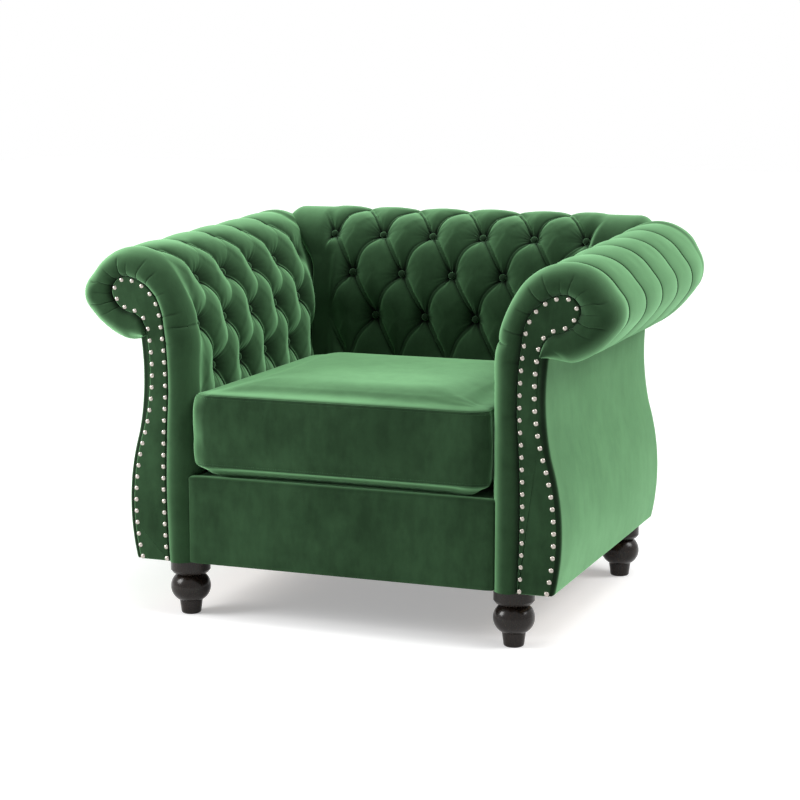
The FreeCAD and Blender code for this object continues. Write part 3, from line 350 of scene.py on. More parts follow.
class Tufting:
    """Diamonds of folds between buttons, on a plan of (u, v) in millimetres.

    Rows lie at first_row + count * row_pitch. Buttons stand where column + row is even, on
    rows 0 to 2. Folds run on to the empty rows -1 and 3 and go straight beyond them.
    Falling folds run down to larger u, rising folds up to larger u. Where the rising ones
    are loose, they are soft valleys with no pleat in them.
    """

    def __init__(self, first_column, column_pitch, first_row, row_pitch, sweep, loose, seed):
        measures = sizes()
        self.u0, self.cu = first_column, column_pitch
        self.v0, self.cv = first_row, row_pitch
        self.pit = measures.button_depth / MM
        self.crease = measures.crease_depth / MM
        self.pleat = measures.pleat_width / MM
        self.half = 1 / math.hypot(1 / self.cu, 1 / self.cv)
        self.sweep = sweep
        self.loose = loose
        self.seed = seed

    def plan(self, u, v):
        return (u - self.u0) / self.cu, (v - self.v0) / self.cv

    def dense(self, u, v, strength=0.6):
        """Draws the grid's points closer together along the folds."""
        p, q = self.plan(u, v)
        a, b = (p + q) / 2, (p - q) / 2
        turn = 2 * math.pi
        a2 = a - strength * np.sin(turn * a) / turn
        b2 = b - strength * np.sin(turn * b) / turn
        straight = p + strength * np.sin(math.pi * p) / math.pi
        inside = smooth_step(-1.35, -0.85, q) * (1 - smooth_step(2.85, 3.35, q))
        p2 = inside * (a2 + b2) + (1 - inside) * straight
        q2 = inside * (a2 - b2) + (1 - inside) * q
        return self.u0 + p2 * self.cu, self.v0 + q2 * self.cv

    def fold(self, off, run, depth, blunt, pleat):
        """Depth beside a fold: two pillows' sides, with a folded strip on one of them."""
        distance = 2 * off * self.half
        width = pleat * smooth_step(0.02, 0.2, run) * (1 - smooth_step(0.78, 0.98, run))
        beside = np.where(distance > 0, np.maximum(distance - width, 0), -distance)
        soft = np.sqrt(beside ** 2 + blunt ** 2) - blunt
        rise = quarter_round(soft / (self.half - width * (distance > 0)), 1.75)
        on_pleat = (distance > 0) & (distance < width)
        hump = np.where(on_pleat, np.sin(math.pi * distance / np.maximum(width, 0.1)), 0)
        return depth * (1 - rise) - 0.42 * width * hump

    def depth(self, u, v, open_front=None):
        """How far the padding lies below its fullest outside, and a mask of painted shade for its folds
        and pits.

        open_front is the column where the diamonds end before a plain stretch.
        """
        p, q = self.plan(u, v)
        a, b = (p + q) / 2, (p - q) / 2
        off_a, off_b = a - np.round(a), b - np.round(b)
        run_a, run_b = b - np.floor(b), a - np.floor(a)
        over = smooth_step(2.05, 2.6, q)
        if self.loose:
            blunt = 0.8 + 7 * smooth_step(0.55, 0.95, run_a)
            falling = self.fold(off_a, run_a / 0.8, self.crease, blunt, self.pleat)
            rising = self.fold(off_b, run_b, self.crease * (0.62 - 0.5 * over), 9.0, 0.0)
        else:
            falling = self.fold(off_a, run_a, self.crease, 1.0, self.pleat)
            rising = self.fold(off_b, run_b, 0.9 * self.crease, 1.0, 0.75 * self.pleat)
        diamonds = np.sqrt(np.maximum(falling, 0) ** 2 + np.maximum(rising, 0) ** 2)
        diamonds = diamonds + np.minimum(falling, 0) + np.minimum(rising, 0)

        column = np.mod(p, 2) - 1
        from_line = np.abs(column) * self.cu
        fading = 1 - smooth_step(2.9, 4.6, q)
        straight = (4.2 + 5 * fading) * (1 - quarter_round(from_line / self.cu))
        straight = straight + 1.9 * np.exp(-(from_line / 1.7) ** 2)
        beyond = smooth_step(2.7, 3.15, q) + 1 - smooth_step(-1.15, -0.7, q)
        depth = diamonds * (1 - beyond) + straight * beyond

        # Crease lines, darkened below as painted shade
        near = np.minimum(np.abs(off_a), np.abs(off_b) + (0.06 if self.loose else 0))
        line = np.exp(-(2 * near * self.half / 3.0) ** 2)
        line = line * (1 - beyond) + 0.9 * np.exp(-(from_line / 2.2) ** 2) * beyond

        node_p, node_q = np.round(a) + np.round(b), np.round(a) - np.round(b)
        real = (node_q > -0.5) & (node_q < 2.5)
        du, dv = (p - node_p) * self.cu, (q - node_q) * self.cv
        radius = np.hypot(du, dv) + 1e-6
        depth = depth + (self.pit - self.crease * 1.2) * np.exp(-(radius / 23) ** 1.35) * real
        angle = np.arctan2(dv, du)
        turn = node_p * 1.7 + node_q * 2.9
        gathers = np.sin(15 * angle + turn) + 0.7 * np.sin(23 * angle + 2.3 * turn)
        reach = np.exp(-(radius / 25) ** 2) * smooth_step(6, 15, radius)
        depth = depth - 1.05 * gathers * reach * real
        depth = depth + soft_noise(u / 38, v / 38, self.seed) * smooth_step(4, 25, radius)
        # Painted shade: darker along the crease lines and in the button pits
        painted_shade = np.clip(0.6 * line + np.exp(-(radius / 18.0) ** 2) * real, 0, 1)
        if open_front is not None:
            plain = smooth_step(0.12, 0.75, open_front - p)
            off_row = np.abs(q - 1) * self.cv
            tuck = 5.0 * (1 - quarter_round(off_row / 26)) + 1.2 * np.exp(-(off_row / 1.6) ** 2)
            depth = depth * (1 - plain) + tuck * plain
            # Painted shade along the tuck line of the plain stretch
            painted_shade = painted_shade * (1 - plain) + plain * 0.6 * np.exp(-(off_row / 2.0) ** 2)
        return depth, painted_shade

    def swept(self, u, v):
        """Bends the rising folds into arcs, as pulled fabric hangs."""
        p, q = self.plan(u, v)
        inside = smooth_step(-1.2, -0.9, q) * (1 - smooth_step(2.9, 3.2, q))
        wave = (np.abs(np.sin(math.pi * q)) + np.sin(math.pi * q) * np.sin(math.pi * p)) / 2
        return u - self.sweep * wave * inside, v + 0.7 * self.sweep * wave * inside

    def nodes(self, columns):
        """Places (u, v) of the buttons."""
        return [(self.u0 + p * self.cu, self.v0 + q * self.cv)
                for p in columns for q in range(3) if (p + q) % 2 == 0]


def inner_rows(line, along):
    """1 on the rows of a grid that its points may leave, and 0 at its two ends."""
    return smooth_step(0, 35, line - along[0]) * (1 - smooth_step(0, 60, line - along[-1] + 60))


# Arms

ARM_COLUMN = 57.5
ARM_ROW = 90.0
ARM_FIRST = FRONT + 73.0       # first line of buttons
ARM_LOW_ROW = -22.5            # lowest row, from the end of the flat face
ROUND_DEEP = 58.0       # from the border's foremost line back to where the arm is full
ROUND_IN = 35.0         # from the arm's outside in to that foremost line
BORDER_RECESS = 17.0    # how far the border falls back from that line to the facing


def arm_tufting():
    return Tufting(ARM_FIRST + ARM_COLUMN, ARM_COLUMN, ARM_LOW_ROW, ARM_ROW, -5.0, True, seed=3)


def border_front():
    """The foremost line of the arms' borders."""
    return FRONT - sizes().border_swell / MM


def front_rounding(y):
    """How far the arm's padding is drawn in towards its front end."""
    return ROUND_IN * round_over((border_front() + ROUND_DEEP - y) / ROUND_DEEP)


class ArmSurface:
    """Fullest outside of an arm's padding; its scroll rises towards the rear."""

    def __init__(self, bottom=DECK_TOP + 0.5):
        self.low = padding_outline(bottom)
        self.high = padding_outline(bottom, lift=ARM_RISE)

    def at(self, y, along):
        """Points [along, y] and their outward normals."""
        stretch = (self.high.end - 250) / (self.low.end - 250)
        high_along = np.where(along > 250, 250 + (along - 250) * stretch, along)
        share = ((y - FRONT) / (ARM_REAR - FRONT))[..., None]
        flat = self.low.at(along) * (1 - share) + self.high.at(high_along) * share
        out = self.low.outward(along) * (1 - share) + self.high.outward(high_along) * share
        out = out / np.hypot(out[..., 0], out[..., 1])[..., None]
        points = np.stack([INNER_FACE + flat[..., 0], y, flat[..., 1]], -1)
        normals = np.stack([out[..., 0], np.zeros_like(y), out[..., 1]], -1)
        return points, normals


def arm_hollow(y, along):
    """How far the scroll is drawn in towards its rear end, which is slimmer and closed."""
    slim = np.clip((y - (ARM_REAR - 132)) / 132, 0, 1) ** 1.7
    outer = smooth_step(345, 430, along) * (1 - 0.4 * smooth_step(470, 560, along))
    closed = 8 * round_over((y - (ARM_REAR - 40)) / 40)
    return 13 * slim * outer + closed * smooth_step(60, 150, along)


def arm_depth(tufting, y, along):
    """Depth of the arm's folds and their painted shade; the padding is pressed in beside the back."""
    depth, fold = tufting.depth(y, along, open_front=-1.0)
    beside = smooth_step(BACK_FACE + 8, BACK_FACE + 50, y) * (1 - smooth_step(140, 230, along))
    depth = depth * (1 - beside) + 15 * beside
    behind = smooth_step(BACK_FACE + 72, BACK_FACE + 90, y)
    depth = depth * (1 - behind * (1 - beside)) + arm_hollow(y, along) + front_rounding(y)
    # The second value is the painted shade of the folds, left out beside and behind the back
    return depth, fold * (1 - np.maximum(beside, behind))


FACING = [
    # outer foot, waist, neck, hook and down the inner side to the foot
    (112, 107), ((104, 345), -16), ((94, 538), 11.5), ((118, 566), 5), ((161, 601), -9),
    ((129, 632), -11), ((60, 558), -18), ((54, 372), -6), ((53, 107), 4),
]


def facing_line(spacing):
    """The facing's outline from its outer foot round the hook to its inner foot."""
    outline = Outline(FACING, soften=2.0)
    count = int((outline.end - outline.start) / spacing)
    return outline.at(np.linspace(outline.start, outline.end, count)) + np.array([INNER_FACE, 0])


def ring_foot(along, outline):
    """Where the border meets the facing, for each place along the padding's outline."""
    hook = facing_line(1.0)[::-1]
    lengths = walked_lengths(hook)

    def nearest(line, walked, place):
        """How far along a line its nearest point to a place lies."""
        return walked[np.argmin(np.hypot(line[:, 0] - place[0], line[:, 1] - place[1]))]

    pairs = [((0, 107), (53, 107)), ((0, 372), (54, 372)), ((2, 500), (57, 505)),
             ((15, 590), (66, 575)), ((50, 647), (92, 612)), ((122, 683), (127, 632)),
             ((190, 660), (148, 622)), ((232, 600), (161, 600)), ((200, 536), (143, 578)),
             ((140, 511), (112, 560)), ((104, 517), (95.5, 538)), ((96, 523), (95, 524))]
    outer = [nearest(outline.points, outline.lengths, start) for start, _ in pairs]
    inner = [nearest(hook, lengths, (INNER_FACE + end[0], end[1])) for _, end in pairs]
    return points_at(np.interp(along, outer, inner), lengths, hook)


BORDER_GATHERS = [
    # place along the outline, depth, width, how far out it reaches, slant
    (92, 2.0, 1.8, 0.80, 5), (145, 1.5, 1.7, 0.62, -6), (188, 2.3, 1.8, 0.75, 4),
    (228, 2.0, 1.8, 0.85, -4), (262, 1.4, 1.6, 0.60, 5), (296, 2.2, 1.8, 0.80, -5),
    (333, 1.5, 1.7, 0.65, 6), (372, 2.4, 1.8, 0.85, 3), (408, 1.5, 1.7, 0.60, -5),
    (442, 2.3, 1.8, 0.85, 4), (476, 1.6, 1.8, 0.70, -4), (30, 0.9, 3.5, 0.5, 8),
    (-60, 0.6, 5.0, 0.5, -8), (-150, 0.5, 6.0, 0.5, 6),
]


def arm_border(side_name, side):
    """Padded border that rolls from the scroll's outside round to the nailed facing."""
    surface = ArmSurface(FLOOR_GAP)
    outline = surface.low
    front_most = border_front()
    along = np.arange(outline.start, outline.end + 0.1, 1.7)
    first_turn = math.asin((front_most + ROUND_DEEP - BOARD_FRONT) / ROUND_DEEP)
    turns = np.linspace(first_turn, math.pi / 2, 16)
    fall = np.linspace(0, 1, 11)[1:] ** 0.8
    turn_grid, line = np.meshgrid(np.concatenate([turns, np.full(len(fall), math.pi / 2)]), along)
    fall_grid = np.meshgrid(np.concatenate([np.zeros(len(turns)), fall]), along)[0]

    base, normal = surface.at(np.full_like(line, BOARD_FRONT), line)
    outer, out = base[..., [0, 2]], normal[..., [0, 2]]
    foot = ring_foot(line, outline)
    width = np.hypot(outer[..., 0] - foot[..., 0], outer[..., 1] - foot[..., 1])
    width = np.maximum(width, 2.0)
    round_in = np.minimum(ROUND_IN, 0.7 * width)
    inset = round_in * (1 - np.cos(turn_grid)) + (width - round_in) * fall_grid
    inward = (foot - outer) / width[..., None]
    first_inset = round_in * (1 - math.cos(first_turn))
    steer = smooth_step(0.0, 0.6, (inset - first_inset) / (width - first_inset))[..., None]
    flat = outer + inset[..., None] * (inward * steer - out * (1 - steer))
    y = front_most + ROUND_DEEP * (1 - np.sin(turn_grid)) + BORDER_RECESS * round_over(fall_grid)

    share = inset / width
    gathers = np.zeros_like(line)
    # Painted shade: darker in the gathers' grooves
    gather_and_recess_shade = np.zeros_like(line)
    for place, depth, wide, reach, slant in BORDER_GATHERS:
        centre = place + slant * (1 - share)
        groove = np.exp(-np.abs((line - centre) / wide) ** 1.6)
        broad = np.exp(-((line - centre) / 13.0) ** 2)
        window = smooth_step(1 - reach, 1.25 - reach, share)
        gathers += depth * (0.65 * groove + 0.55 * broad) * window
        gather_and_recess_shade += 0.26 * depth * groove * window
    loose = smooth_step(0.1, 0.5, share)
    gathers += 0.6 * soft_noise(line / 24, share * 2.2, 11) * loose
    press, fold = arm_tufting().depth(np.full_like(line, BOARD_FRONT), line, open_front=-1.0)
    fade = 1 - smooth_step(0.25, 0.85, share)
    sunk = press * fade + gathers
    lean = np.clip(share * 1.8, 0, 1)
    points = np.stack([flat[..., 0], y + sunk * lean, flat[..., 1]], -1)
    points = points - normal * (sunk * np.sqrt(1 - lean ** 2))[..., None]
    # Painted shade: the tufting's fold shade, and darker where the border falls back to the facing
    gather_and_recess_shade = np.clip(gather_and_recess_shade + fold * fade + 0.9 * smooth_step(0.74, 1.0, share) ** 2, 0, 1)
    back_line = points[:, -1].copy()
    outer_line = points[:, 0].copy()
    outer_line -= normal[:, 0] * 8      # under the arm's pad, clear of its surface
    back_line[:, 1] = outer_line[:, 1] = BOARD_FRONT + 1
    item = shell("arm_border_pad_" + side_name, points, outer_line, back_line, side < 0, side)
    store(item, "fold", gather_and_recess_shade)
    return item


def arm_pad(side_name, side):
    """Tufted padding of an arm, up its inner face and round the scroll."""
    spacing = sizes().fabric_grid / MM
    tufting = arm_tufting()
    surface = ArmSurface()
    along = np.arange(surface.low.start, surface.low.end, spacing)
    rear_steps = ARM_REAR - np.array([14, 11, 8, 5.5, 3.5, 2, 1, 0.3, 0])
    places = np.concatenate([np.arange(BOARD_FRONT, ARM_REAR - 15, spacing), rear_steps])
    y, line = np.meshgrid(places, along)
    y2, line2 = tufting.dense(y, line)
    keep = smooth_step(BOARD_FRONT + 2, BOARD_FRONT + 40, y) * (1 - smooth_step(150, 190, y))
    keep = keep * inner_rows(line, along)
    y = y + (y2 - y) * keep
    line = line + (line2 - line) * keep
    depth, fold = arm_depth(tufting, y, line)
    swept_y, swept_line = tufting.swept(y, line)
    hold = smooth_step(ARM_FIRST - 10, ARM_FIRST + 30, y) * (1 - smooth_step(120, 160, y))
    base, normal = surface.at(y + (swept_y - y) * hold, line + (swept_line - line) * hold)
    depth = depth + 8 * round_over((y - (ARM_REAR - 9)) / 9)
    depth = depth + 3 * (1 - smooth_step(0, 14, line - along[0]))
    points = base - normal * depth[..., None]
    first_back, last_back = (points[:, end] - normal[:, end] * PAD_THICKNESS for end in (0, -1))
    item = shell("arm_padding_" + side_name, points, first_back, last_back, side > 0, side)
    # The fold attribute holds painted shade: darker along the creases and in the pits
    store(item, "fold", fold)
    return item


BUTTON_RADIUS = 7.2
BUTTON_SIDES = 20
BUTTON_SINK = 22.0      # from the fullest outside of the padding to a button's mould


def covered_button(centre, out):
    """Points and faces of one button: a domed, cloth-covered mould."""
    profile = [(0.55, -2.4), (0.93, -1.6), (1.0, 0.0), (0.95, 1.3), (0.82, 2.4), (0.6, 3.3),
               (0.34, 3.9), (0.1, 4.1)]
    out = Vector(out).normalized()
    across = out.cross(Vector((0, 0, 1)))
    if across.length < 0.1:
        across = out.cross(Vector((1, 0, 0)))
    across.normalize()
    up = out.cross(across)
    points = []
    for wide, high in profile:
        for count in range(BUTTON_SIDES):
            angle = 2 * math.pi * count / BUTTON_SIDES
            aside = across * math.cos(angle) + up * math.sin(angle)
            points.append(Vector(centre) + aside * wide * BUTTON_RADIUS + out * high)
    return points, ring_faces(len(profile), BUTTON_SIDES)


def buttons(name, places, side=1):
    """All buttons of one pad as one piece; places are pairs of a point and a direction."""
    points, faces = [], []
    for centre, out in places:
        new_points, new_faces = covered_button(centre, out)
        faces += [tuple(index + len(points) for index in face) for face in new_faces]
        points += new_points
    points = mirrored(np.array([tuple(point) for point in points]), side) * MM
    if side < 0:
        faces = [face[::-1] for face in faces]
    item = make_object(name, points, faces)
    # Painted shade: the buttons are darkened all over, as they sit deep in the pits
    store(item, "fold", np.full(len(points), 0.6))
    return item


def arm_button_places():
    surface = ArmSurface()
    places = []
    for y, along in arm_tufting().nodes(range(-1, 8)):
        point, out = surface.at(np.array([[y]]), np.array([[along]]))
        places.append((point[0, 0] - out[0, 0] * BUTTON_SINK, out[0, 0]))
    return places


def padded_face(name, line, rings, side, flip, fold):
    """A padded board seen flat: its outline drawn in by rings of (inset, y); fold is painted shade on its
    first two rings, at the edge.
    """
    closed = np.vstack([line[-1], line, line[0]])
    tangent = closed[2:] - closed[:-2]
    tangent /= np.hypot(*tangent.T)[:, None]
    inward = np.stack([-tangent[:, 1], tangent[:, 0]], 1)
    points = []
    for inset, y in rings:
        ring = line + inward * inset
        points.append(np.stack([ring[:, 0], np.full(len(ring), y), ring[:, 1]], 1))
    faces = ring_faces(len(rings), len(line))
    if flip:
        faces = [face[::-1] for face in faces]
    item = make_object(name, mirrored(np.vstack(points), side) * MM, faces)
    # Painted shade: darker on the first two rings, round the edge
    store(item, "fold", np.full(len(line) * 2, fold))
    return item


def rounded_ring(line, reach=4, spacing=5):
    """A closed outline as even points, its corners rounded."""
    lengths = walked_lengths(line)
    even = points_at(np.arange(0, lengths[-1], 1.0), lengths, line)
    overlap = 4 * reach
    wrapped = np.vstack([even[-overlap:], even, even[:overlap]])
    return soften_line(wrapped, reach)[overlap:-overlap:spacing]


def arm_facing(side_name, side):
    """Flat cloth inside the border, nailed along its edge."""
    line = facing_line(4.0)
    foot = np.stack([np.linspace(line[-1, 0], line[0, 0], 14)[1:-1], np.full(12, FLOOR_GAP)], 1)
    outline = np.vstack([line, foot])
    rings = [(0.4, FRONT + 13.5), (0.4, FRONT + 1.6), (0.9, FRONT + 0.5), (2.0, FRONT - 0.2),
             (4.0, FRONT - 0.5)]
    # 0.8 is the painted shade round the facing's edge
    return padded_face("arm_facing_cloth_" + side_name, outline, rings, side, side < 0, 0.8)


def outer_outline(lean=0.0, lift=0.0, extra=0.0):
    """The outer side of an arm or the back: under the scroll, waist and foot."""
    return Outline([
        (107 + lean + extra, 531 + lift),
        ((113 + lean / 2 + extra, 345), -8.5),
        ((121 + extra, FLOOR_GAP), 16),
    ], soften=6.0)


def fine_edged(start, end, spacing=7.0):
    """Even places from start to end, closer together at both ends."""
    edge = np.array([0, 0.25, 0.8, 1.8, 3.2, 5.0, 7.0])
    middle = np.arange(start + 2 * spacing, end - 13, spacing)
    return np.concatenate([start + edge, middle, end - edge[::-1]])


def padded_panel(name, outline, start, end, to_space, flip, seed):
    """Padded outer panel: smooth cloth over a board, rolled at its four edges."""
    radius = 7.0
    rows = fine_edged(outline.start, outline.end)
    columns = fine_edged(start, end)
    place, along = np.meshgrid(columns, rows)
    near = np.minimum(np.minimum(place - start, end - place),
                      np.minimum(along - outline.start, outline.end - along))
    roll = radius * (1 - quarter_round(near / radius))
    puff = 1.6 * smooth_step(0, 90, near) + 0.5 * soft_noise(place / 95, along / 120, seed)
    flat, out = outline.at(along), outline.outward(along)
    shifted = flat + out * (puff * smooth_step(0, 30, near) - roll)[..., None]
    points = to_space(shifted[..., 0], place, shifted[..., 1])
    behind = flat[:, 0] - out[:, 0] * PANEL_THICKNESS
    first_back, last_back = (to_space(behind[:, 0], np.full(len(rows), edge), behind[:, 1])
                             for edge in (start, end))
    item = shell(name, points, first_back, last_back, flip)
    # Painted shade: darker along the rolled edges
    store(item, "fold", 0.75 * (1 - smooth_step(0, 5, near)))
    return item


def arm_outer_panel(side_name, side):
    def to_space(reach, y, height):
        return np.stack([side * (INNER_FACE + reach), y, height], -1)

    return padded_panel("arm_outer_panel_pad_" + side_name, outer_outline(), FRONT + 1.0,
                        ARM_REAR - 4, to_space, flip=side < 0, seed=5)


def arm_rear_cover(side_name, side):
    """Cloth over the rear end of an arm, up to the rounded end of its padding."""
    surface = ArmSurface()
    inner = INNER_FACE + 41         # the rear board's inner side
    along = np.arange(60, surface.low.end - 30, 4.0)
    rear = np.full_like(along, ARM_REAR)
    points, out = surface.at(rear, along)
    head = (points - out * (12 + arm_hollow(rear, along))[:, None])[:, [0, 2]]
    head = head[head[:, 0] > inner + 1]
    outside = np.array([(100, 516)], float)
    for end, bulge in (((106, 345), -8.5), ((114, FLOOR_GAP - 1), 16)):
        outside = np.vstack([outside, arc_points(outside[-1], end, bulge, 3.0)])
    foot = [[inner, FLOOR_GAP - 1]]
    line = rounded_ring(np.vstack([foot, head, outside + np.array([INNER_FACE, 0]), foot]))
    rings = [(0, ARM_REAR - 4), (0, ARM_REAR - 1.5), (0.9, ARM_REAR - 0.3), (3.2, ARM_REAR + 0.8)]
    # 0.6 is the painted shade round the cover's edge
    return padded_face("arm_rear_cloth_" + side_name, line[::-1], rings, side, side > 0, 0.6)


# Back

BACK_COLUMN = 54.0
BACK_ROW = 92.0
BACK_PANEL_HALF = 328.0


def back_outline():
    return padding_outline(DECK_TOP + 2.5, BACK_LEAN, BACK_CREST_LIFT, BACK_PAD_LIFT)


def back_tufting():
    return Tufting(BACK_COLUMN, BACK_COLUMN, 0.0, BACK_ROW, 8.0, False, seed=8)


def back_pad():
    """Tufted padding between the arms, rolled over the top; the roll spreads behind the arms."""
    spacing = sizes().fabric_grid / MM
    outline = back_outline()
    tufting = back_tufting()
    along = np.arange(outline.start, outline.end, spacing)
    end_steps = BACK_HALF - np.array([22, 17, 12.5, 9, 6, 3.8, 2, 0.8, 0])
    middle = np.arange(-BACK_HALF + 26, BACK_HALF - 25, spacing)
    places = np.concatenate([-end_steps[::-1], middle, end_steps])
    x, line = np.meshgrid(places, along)
    x2, line2 = tufting.dense(x, line)
    last = 5 * BACK_COLUMN
    keep = 1 - smooth_step(last - 20, last + 30, np.abs(x))
    keep = keep * inner_rows(line, along)
    x = x + (x2 - x) * keep
    line = line + (line2 - line) * keep
    depth, fold = tufting.depth(x, line)
    outer = smooth_step(last - 34, last - 4, np.abs(x))
    low = 1 - smooth_step(120, 172, line)
    plain = outer * low + (1 - low) * smooth_step(last + 8, last + 34, np.abs(x))
    depth = depth * (1 - plain) + (8 * low * outer + 3.0) * plain
    fold = fold * (1 - plain)
    swept_x, swept_line = tufting.swept(x, line)
    hold = 1 - smooth_step(last - 40, last, np.abs(x))
    x = x + (swept_x - x) * hold
    line = line + (swept_line - line) * hold
    depth = depth + 22 * round_over((np.abs(x) - (BACK_HALF - 24)) / 24)
    out = outline.outward(line)
    shifted = outline.at(line) - out * depth[..., None]
    widest = BACK_CORNER + (BACK_HALF - BACK_CORNER) * smooth_step(85, 240, line)
    beyond = np.maximum(np.abs(x) - last, 0) / (BACK_HALF - last)
    x = np.sign(x) * (np.minimum(np.abs(x), last) + beyond * (widest - last))
    points = np.stack([x, BACK_FACE + shifted[..., 0], shifted[..., 1]], -1)
    normal = np.stack([np.zeros_like(x), out[..., 0], out[..., 1]], -1)
    first_back, last_back = (points[:, end] - normal[:, end] * PAD_THICKNESS for end in (0, -1))
    first_back[:, 0] += 12
    last_back[:, 0] -= 12
    item = shell("back_padding", points, first_back, last_back)
    # The fold attribute holds painted shade: darker along the creases and in the pits
    store(item, "fold", fold)
    return item


def back_button_places():
    outline = back_outline()
    places = []
    for x, along in back_tufting().nodes(range(-6, 5)):
        if abs(x) > 4.5 * BACK_COLUMN and along < BACK_ROW:
            continue
        flat, out = outline.at(along), outline.outward(along)
        centre = flat - out * BUTTON_SINK
        places.append(((x, BACK_FACE + centre[0], centre[1]), (0, out[0], out[1])))
    return places


def back_outer_panel():
    outline = outer_outline(BACK_LEAN, BACK_LIFT, extra=14)

    def to_space(reach, x, height):
        return np.stack([x, BACK_FACE + reach, height], -1)

    return padded_panel("back_outer_panel_pad", outline, -BACK_PANEL_HALF, BACK_PANEL_HALF,
                        to_space, flip=True, seed=9)


# Seat

RAIL_HALF = 297.0       # half lengths of the front rail's cover and of the deck
DECK_HALF = 289.0
SEAM_LEVEL = 25.0       # from the cushion's underside and crown to its two seams
CUSHION_BOX = mm_box("cushion_cover")
CUSHION_LOW, CUSHION_HIGH = CUSHION_BOX[0][2] + SEAM_LEVEL, CUSHION_BOX[1][2] - SEAM_LEVEL
CUSHION_CORNER = 18.0
SEAM_PULL = 1.5         # how far the seams draw in the cushion's sides


def front_rail_cover():
    """Plain padded cover of the front rail, rolled over its upper edge."""
    half = RAIL_HALF
    steps = [(13.5, 108), ((1.2, 107.3), 0), ((0, 109), 0.5), ((0, 262), 0), ((4, 270), 2.2),
             ((13.5, 270.6), 0.5)]
    outline = Outline(steps, soften=1.0)
    rows = np.linspace(outline.start, outline.end, 60)
    edge = half - np.array([5, 2, 0.6, 0])
    columns = np.concatenate([-edge[::-1], np.arange(-279, 280, 9.0), edge])
    x, line = np.meshgrid(columns, rows)
    flat, out = outline.at(line), outline.outward(line)
    near = half - np.abs(x)
    face = smooth_step(14, 50, line - outline.start) * (1 - smooth_step(120, 168, line - outline.start))
    puff = 1.8 * smooth_step(0, 60, near) * face + 0.45 * soft_noise(x / 70, line / 60, 21) * face
    roll = 7 * (1 - quarter_round(near / 9))
    shifted = flat + out * (puff - roll)[..., None]
    points = np.stack([x, FRONT + shifted[..., 0], shifted[..., 1]], -1)
    back = np.stack([np.full(len(rows), 13.8), outline.at(rows)[:, 1]], 1)
    first_back = np.stack([np.full(len(rows), -half), FRONT + back[:, 0], back[:, 1]], 1)
    last_back = mirrored(first_back, -1)
    item = shell("front_rail_pad", points, first_back, last_back)
    # Painted shade: darker along the rolled ends
    store(item, "fold", 0.8 * (1 - smooth_step(0, 5, near)))
    return item


def seat_deck():
    """Cloth deck over the springs, with a sewn line behind its front edge."""
    front, rear = BOARD_FRONT + 0.5, 199.0
    columns = np.linspace(-DECK_HALF, DECK_HALF, 90)
    rows = np.linspace(front, rear, 95)
    x, y = np.meshgrid(columns, rows)
    edge = np.minimum(DECK_HALF - np.abs(x), np.minimum(y - front, rear - y))
    sag = -1.6 * smooth_step(20, 150, edge) - 1.5 * (1 - quarter_round(edge / 4))
    seam_line = np.exp(-((y - front - 95) / 3) ** 2)
    z = DECK_TOP - 0.2 + sag - 1.2 * seam_line + 0.5 * soft_noise(x / 60, y / 60, 31)
    points = np.stack([x, y, z], -1)
    under = np.full(len(rows), DECK_TOP - 8.0)
    first_back = np.stack([np.full(len(rows), -DECK_HALF), rows, under], 1)
    last_back = mirrored(first_back, -1)
    item = shell("seat_deck_cloth", points, first_back, last_back)
    # Painted shade in the sewn line's groove
    store(item, "fold", np.clip(0.8 * seam_line, 0, 1))
    return item


class CushionPlan:
    """The cushion seen from above: a rectangle with rounded corners, in millimetres."""

    def __init__(self):
        low, high = CUSHION_BOX
        self.centre = (low[:2] + high[:2]) / 2
        self.reach = (high[:2] - low[:2]) / 2

    def edge(self, spacing, inset=0.0, radius=CUSHION_CORNER):
        """Points round the outline, counter-clockwise, an even step apart."""
        corner = self.reach - inset - radius
        points = []
        for right, rear, start in ((1, -1, -90), (1, 1, 0), (-1, 1, 90), (-1, -1, 180)):
            for angle in np.radians(np.linspace(start, start + 90, 24)):
                points.append((right * corner[0] + radius * math.cos(angle),
                               rear * corner[1] + radius * math.sin(angle)))
        line = np.array(points + points[:1]) + self.centre
        lengths = walked_lengths(line)
        return points_at(np.linspace(0, lengths[-1], int(lengths[-1] / spacing) + 1)[:-1], lengths, line)

    def inside(self, points):
        """Distance of points in from the outline, and the directions that lead out."""
        from_centre = points[:, :2] - self.centre
        over = np.abs(from_centre) - (self.reach - CUSHION_CORNER)
        past = np.maximum(over, 0)
        length = np.hypot(past[:, 0], past[:, 1])
        distance = CUSHION_CORNER - length - np.minimum(over.max(axis=1), 0)
        nearest = np.eye(2)[over.argmax(axis=1)]
        out = np.where(length[:, None] > 0, past / np.maximum(length, 1e-6)[:, None], nearest)
        return distance, out * np.sign(from_centre)


